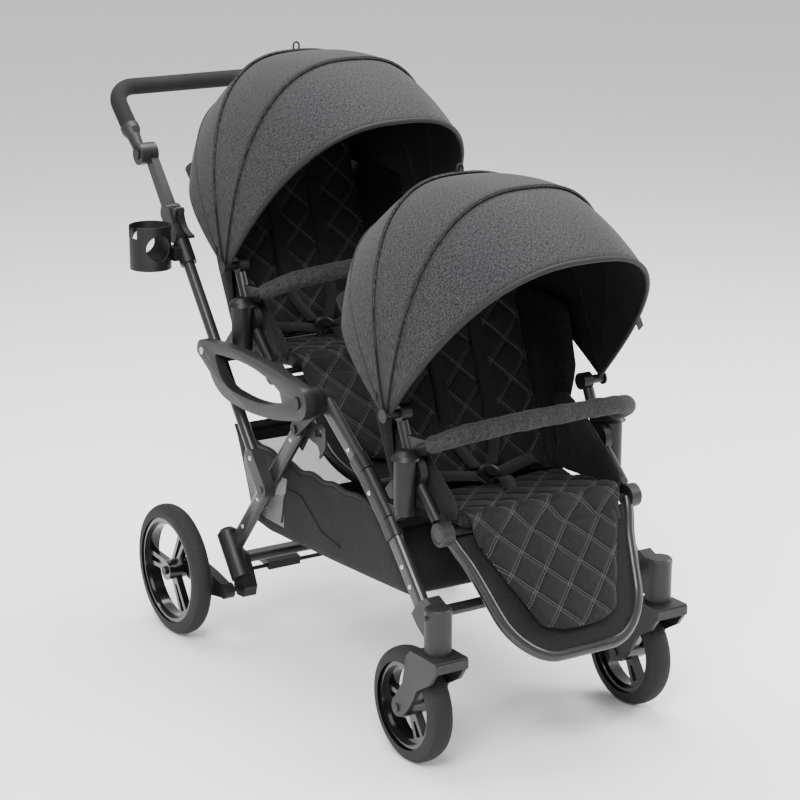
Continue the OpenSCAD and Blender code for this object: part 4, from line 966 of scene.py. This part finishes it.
def basket_point(u, v):
    """u runs from the right rim, under the basket, to the left rim, and v from the back to the front."""
    low, high = along_line(floor_line, v), along_line(rim_line, v)
    wall = 0.30
    up = max(0.0, (abs(u) - (1 - wall)) / wall)
    across = min(abs(u) / (1 - wall), 1)
    corner = math.sin(math.pi / 2 * min(up / 0.12, 1)) if up < 0.12 else 1
    x = math.copysign(basket_half * (across * 0.965 + 0.035 * corner), u)
    spot = low.lerp(high, up)
    belly = 0.006 * math.sin(math.pi * up) + 0.004 * noise.noise(Vector((u * 4, v * 7, 1.5)))
    sag = -0.005 * math.cos(math.pi / 2 * across) * math.sin(math.pi * v) if up == 0 else 0
    rim_wave = 0.003 * math.sin(v * 46) * up ** 3 * math.sin(math.pi * v)
    return Vector((x - math.copysign(belly * (up > 0), -u), spot.y, spot.z + sag - rim_wave)) + middle


bm = bmesh.new()
bmesh.ops.create_grid(bm, x_segments=96, y_segments=110, size=1)
layer = bm.loops.layers.uv.new("cloth")
for face in bm.faces:
    centre = face.calc_center_median()
    u, v = centre.x, (centre.y + 1) / 2
    side_window = 0.755 < abs(u) < 0.945 and 0.10 < v < 0.36
    back_window = abs(u) < 0.66 and 0.045 < v < 0.17
    face.material_index = 1 if side_window or back_window else 0
    for loop in face.loops:
        u, v = loop.vert.co.x, (loop.vert.co.y + 1) / 2
        loop[layer].uv = (u * 0.30, v * 0.92)
for vert in bm.verts:
    vert.co = basket_point(vert.co.x, (vert.co.y + 1) / 2)
bmesh.ops.remove_doubles(bm, verts=bm.verts, dist=0.00005)
bmesh.ops.recalc_face_normals(bm, faces=bm.faces)
basket = object_from("shopping_basket", bm, [nylon, net])
wall = basket.modifiers.new("cloth thickness", "SOLIDIFY")
wall.thickness = 0.0012
baked(basket)
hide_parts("basket")
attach(basket, "frame")
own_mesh(basket)

basket_folds = ("fold", (0, 0, 1), (0, 0, 0.24), 0.3)
for side, sign in (("left", 1), ("right", -1)):
    rim = [basket_point(sign, 0.015 + 0.97 * i / 80) for i in range(81)]
    piping(f"basket_rim_{side}", rim, 0.0042, piping_cloth, "frame", sides=4, flattens=basket_folds)
    arch = [(0.775, 0.62), (0.80, 0.55), (0.86, 0.50), (0.90, 0.46), (0.905, 0.42), (0.90, 0.38), (0.87, 0.365),
            (0.80, 0.36), (0.765, 0.355)]
    trim = [basket_point(sign * (u + 0.004), v) + Vector((sign * 0.0022, 0, 0)) for u, v in arch]
    piping(f"basket_trim_{side}", trim, 0.0022, piping_cloth, "frame", sides=3, flattens=basket_folds)
band = [basket_point(-0.66 + 1.32 * i / 40, 0.012) for i in range(41)]
piping("basket_back_band", band, 0.006, piping_cloth, "frame", sides=4, flattens=basket_folds)

# ---------------------------------------------------------------- canopy tabs and loops
# A folded tape tab is sewn into the left end of each visor binding, a short tape loop stands on the crown's seam, and
# a small moulded pull hangs at the rear zip's end.
for row, offset in seats:
    bm = bmesh.new()
    bmesh.ops.create_cube(bm, size=1)
    bmesh.ops.scale(bm, vec=(0.016, 0.0026, 0.024), verts=bm.verts)
    bmesh.ops.bevel(bm, geom=bm.edges[:], affect="EDGES", offset=0.0008, segments=2, profile=0.5, material=-1)
    tab_at = bow_point(0.80, 131.5, 0.0095) + Vector((0.007, -0.003, 0))
    bmesh.ops.transform(bm, matrix=Matrix.Translation(tab_at + offset) @ Matrix.Rotation(math.radians(-25), 4, "Y")
                        @ Matrix.Rotation(math.radians(20), 4, "Z"), verts=bm.verts)
    tab = object_from(f"{row}_visor_tab", bm, [piping_cloth], smooth=False)
    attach(tab, f"{row}_canopy_fore")
    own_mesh(tab)
    top = bow_point(0.0, 72.5, 0) + offset
    ear = [top + Vector((x, -0.001, z)) for x, z in (
        (-0.005, -0.002), (-0.0065, 0.006), (-0.005, 0.012), (0, 0.0145), (0.005, 0.012), (0.0065, 0.006),
        (0.005, -0.002))]
    piping(f"{row}_crown_loop", ear, 0.0018, piping_cloth, f"{row}_seat")
    pull_at = bow_point(-0.97, 60, -0.001) + offset
    pull = [pull_at + Vector((-0.0015, 0, -0.014 * i / 4)) for i in range(5)]
    piping(f"{row}_zip_pull", pull, 0.0022, black_plastic, f"{row}_seat")
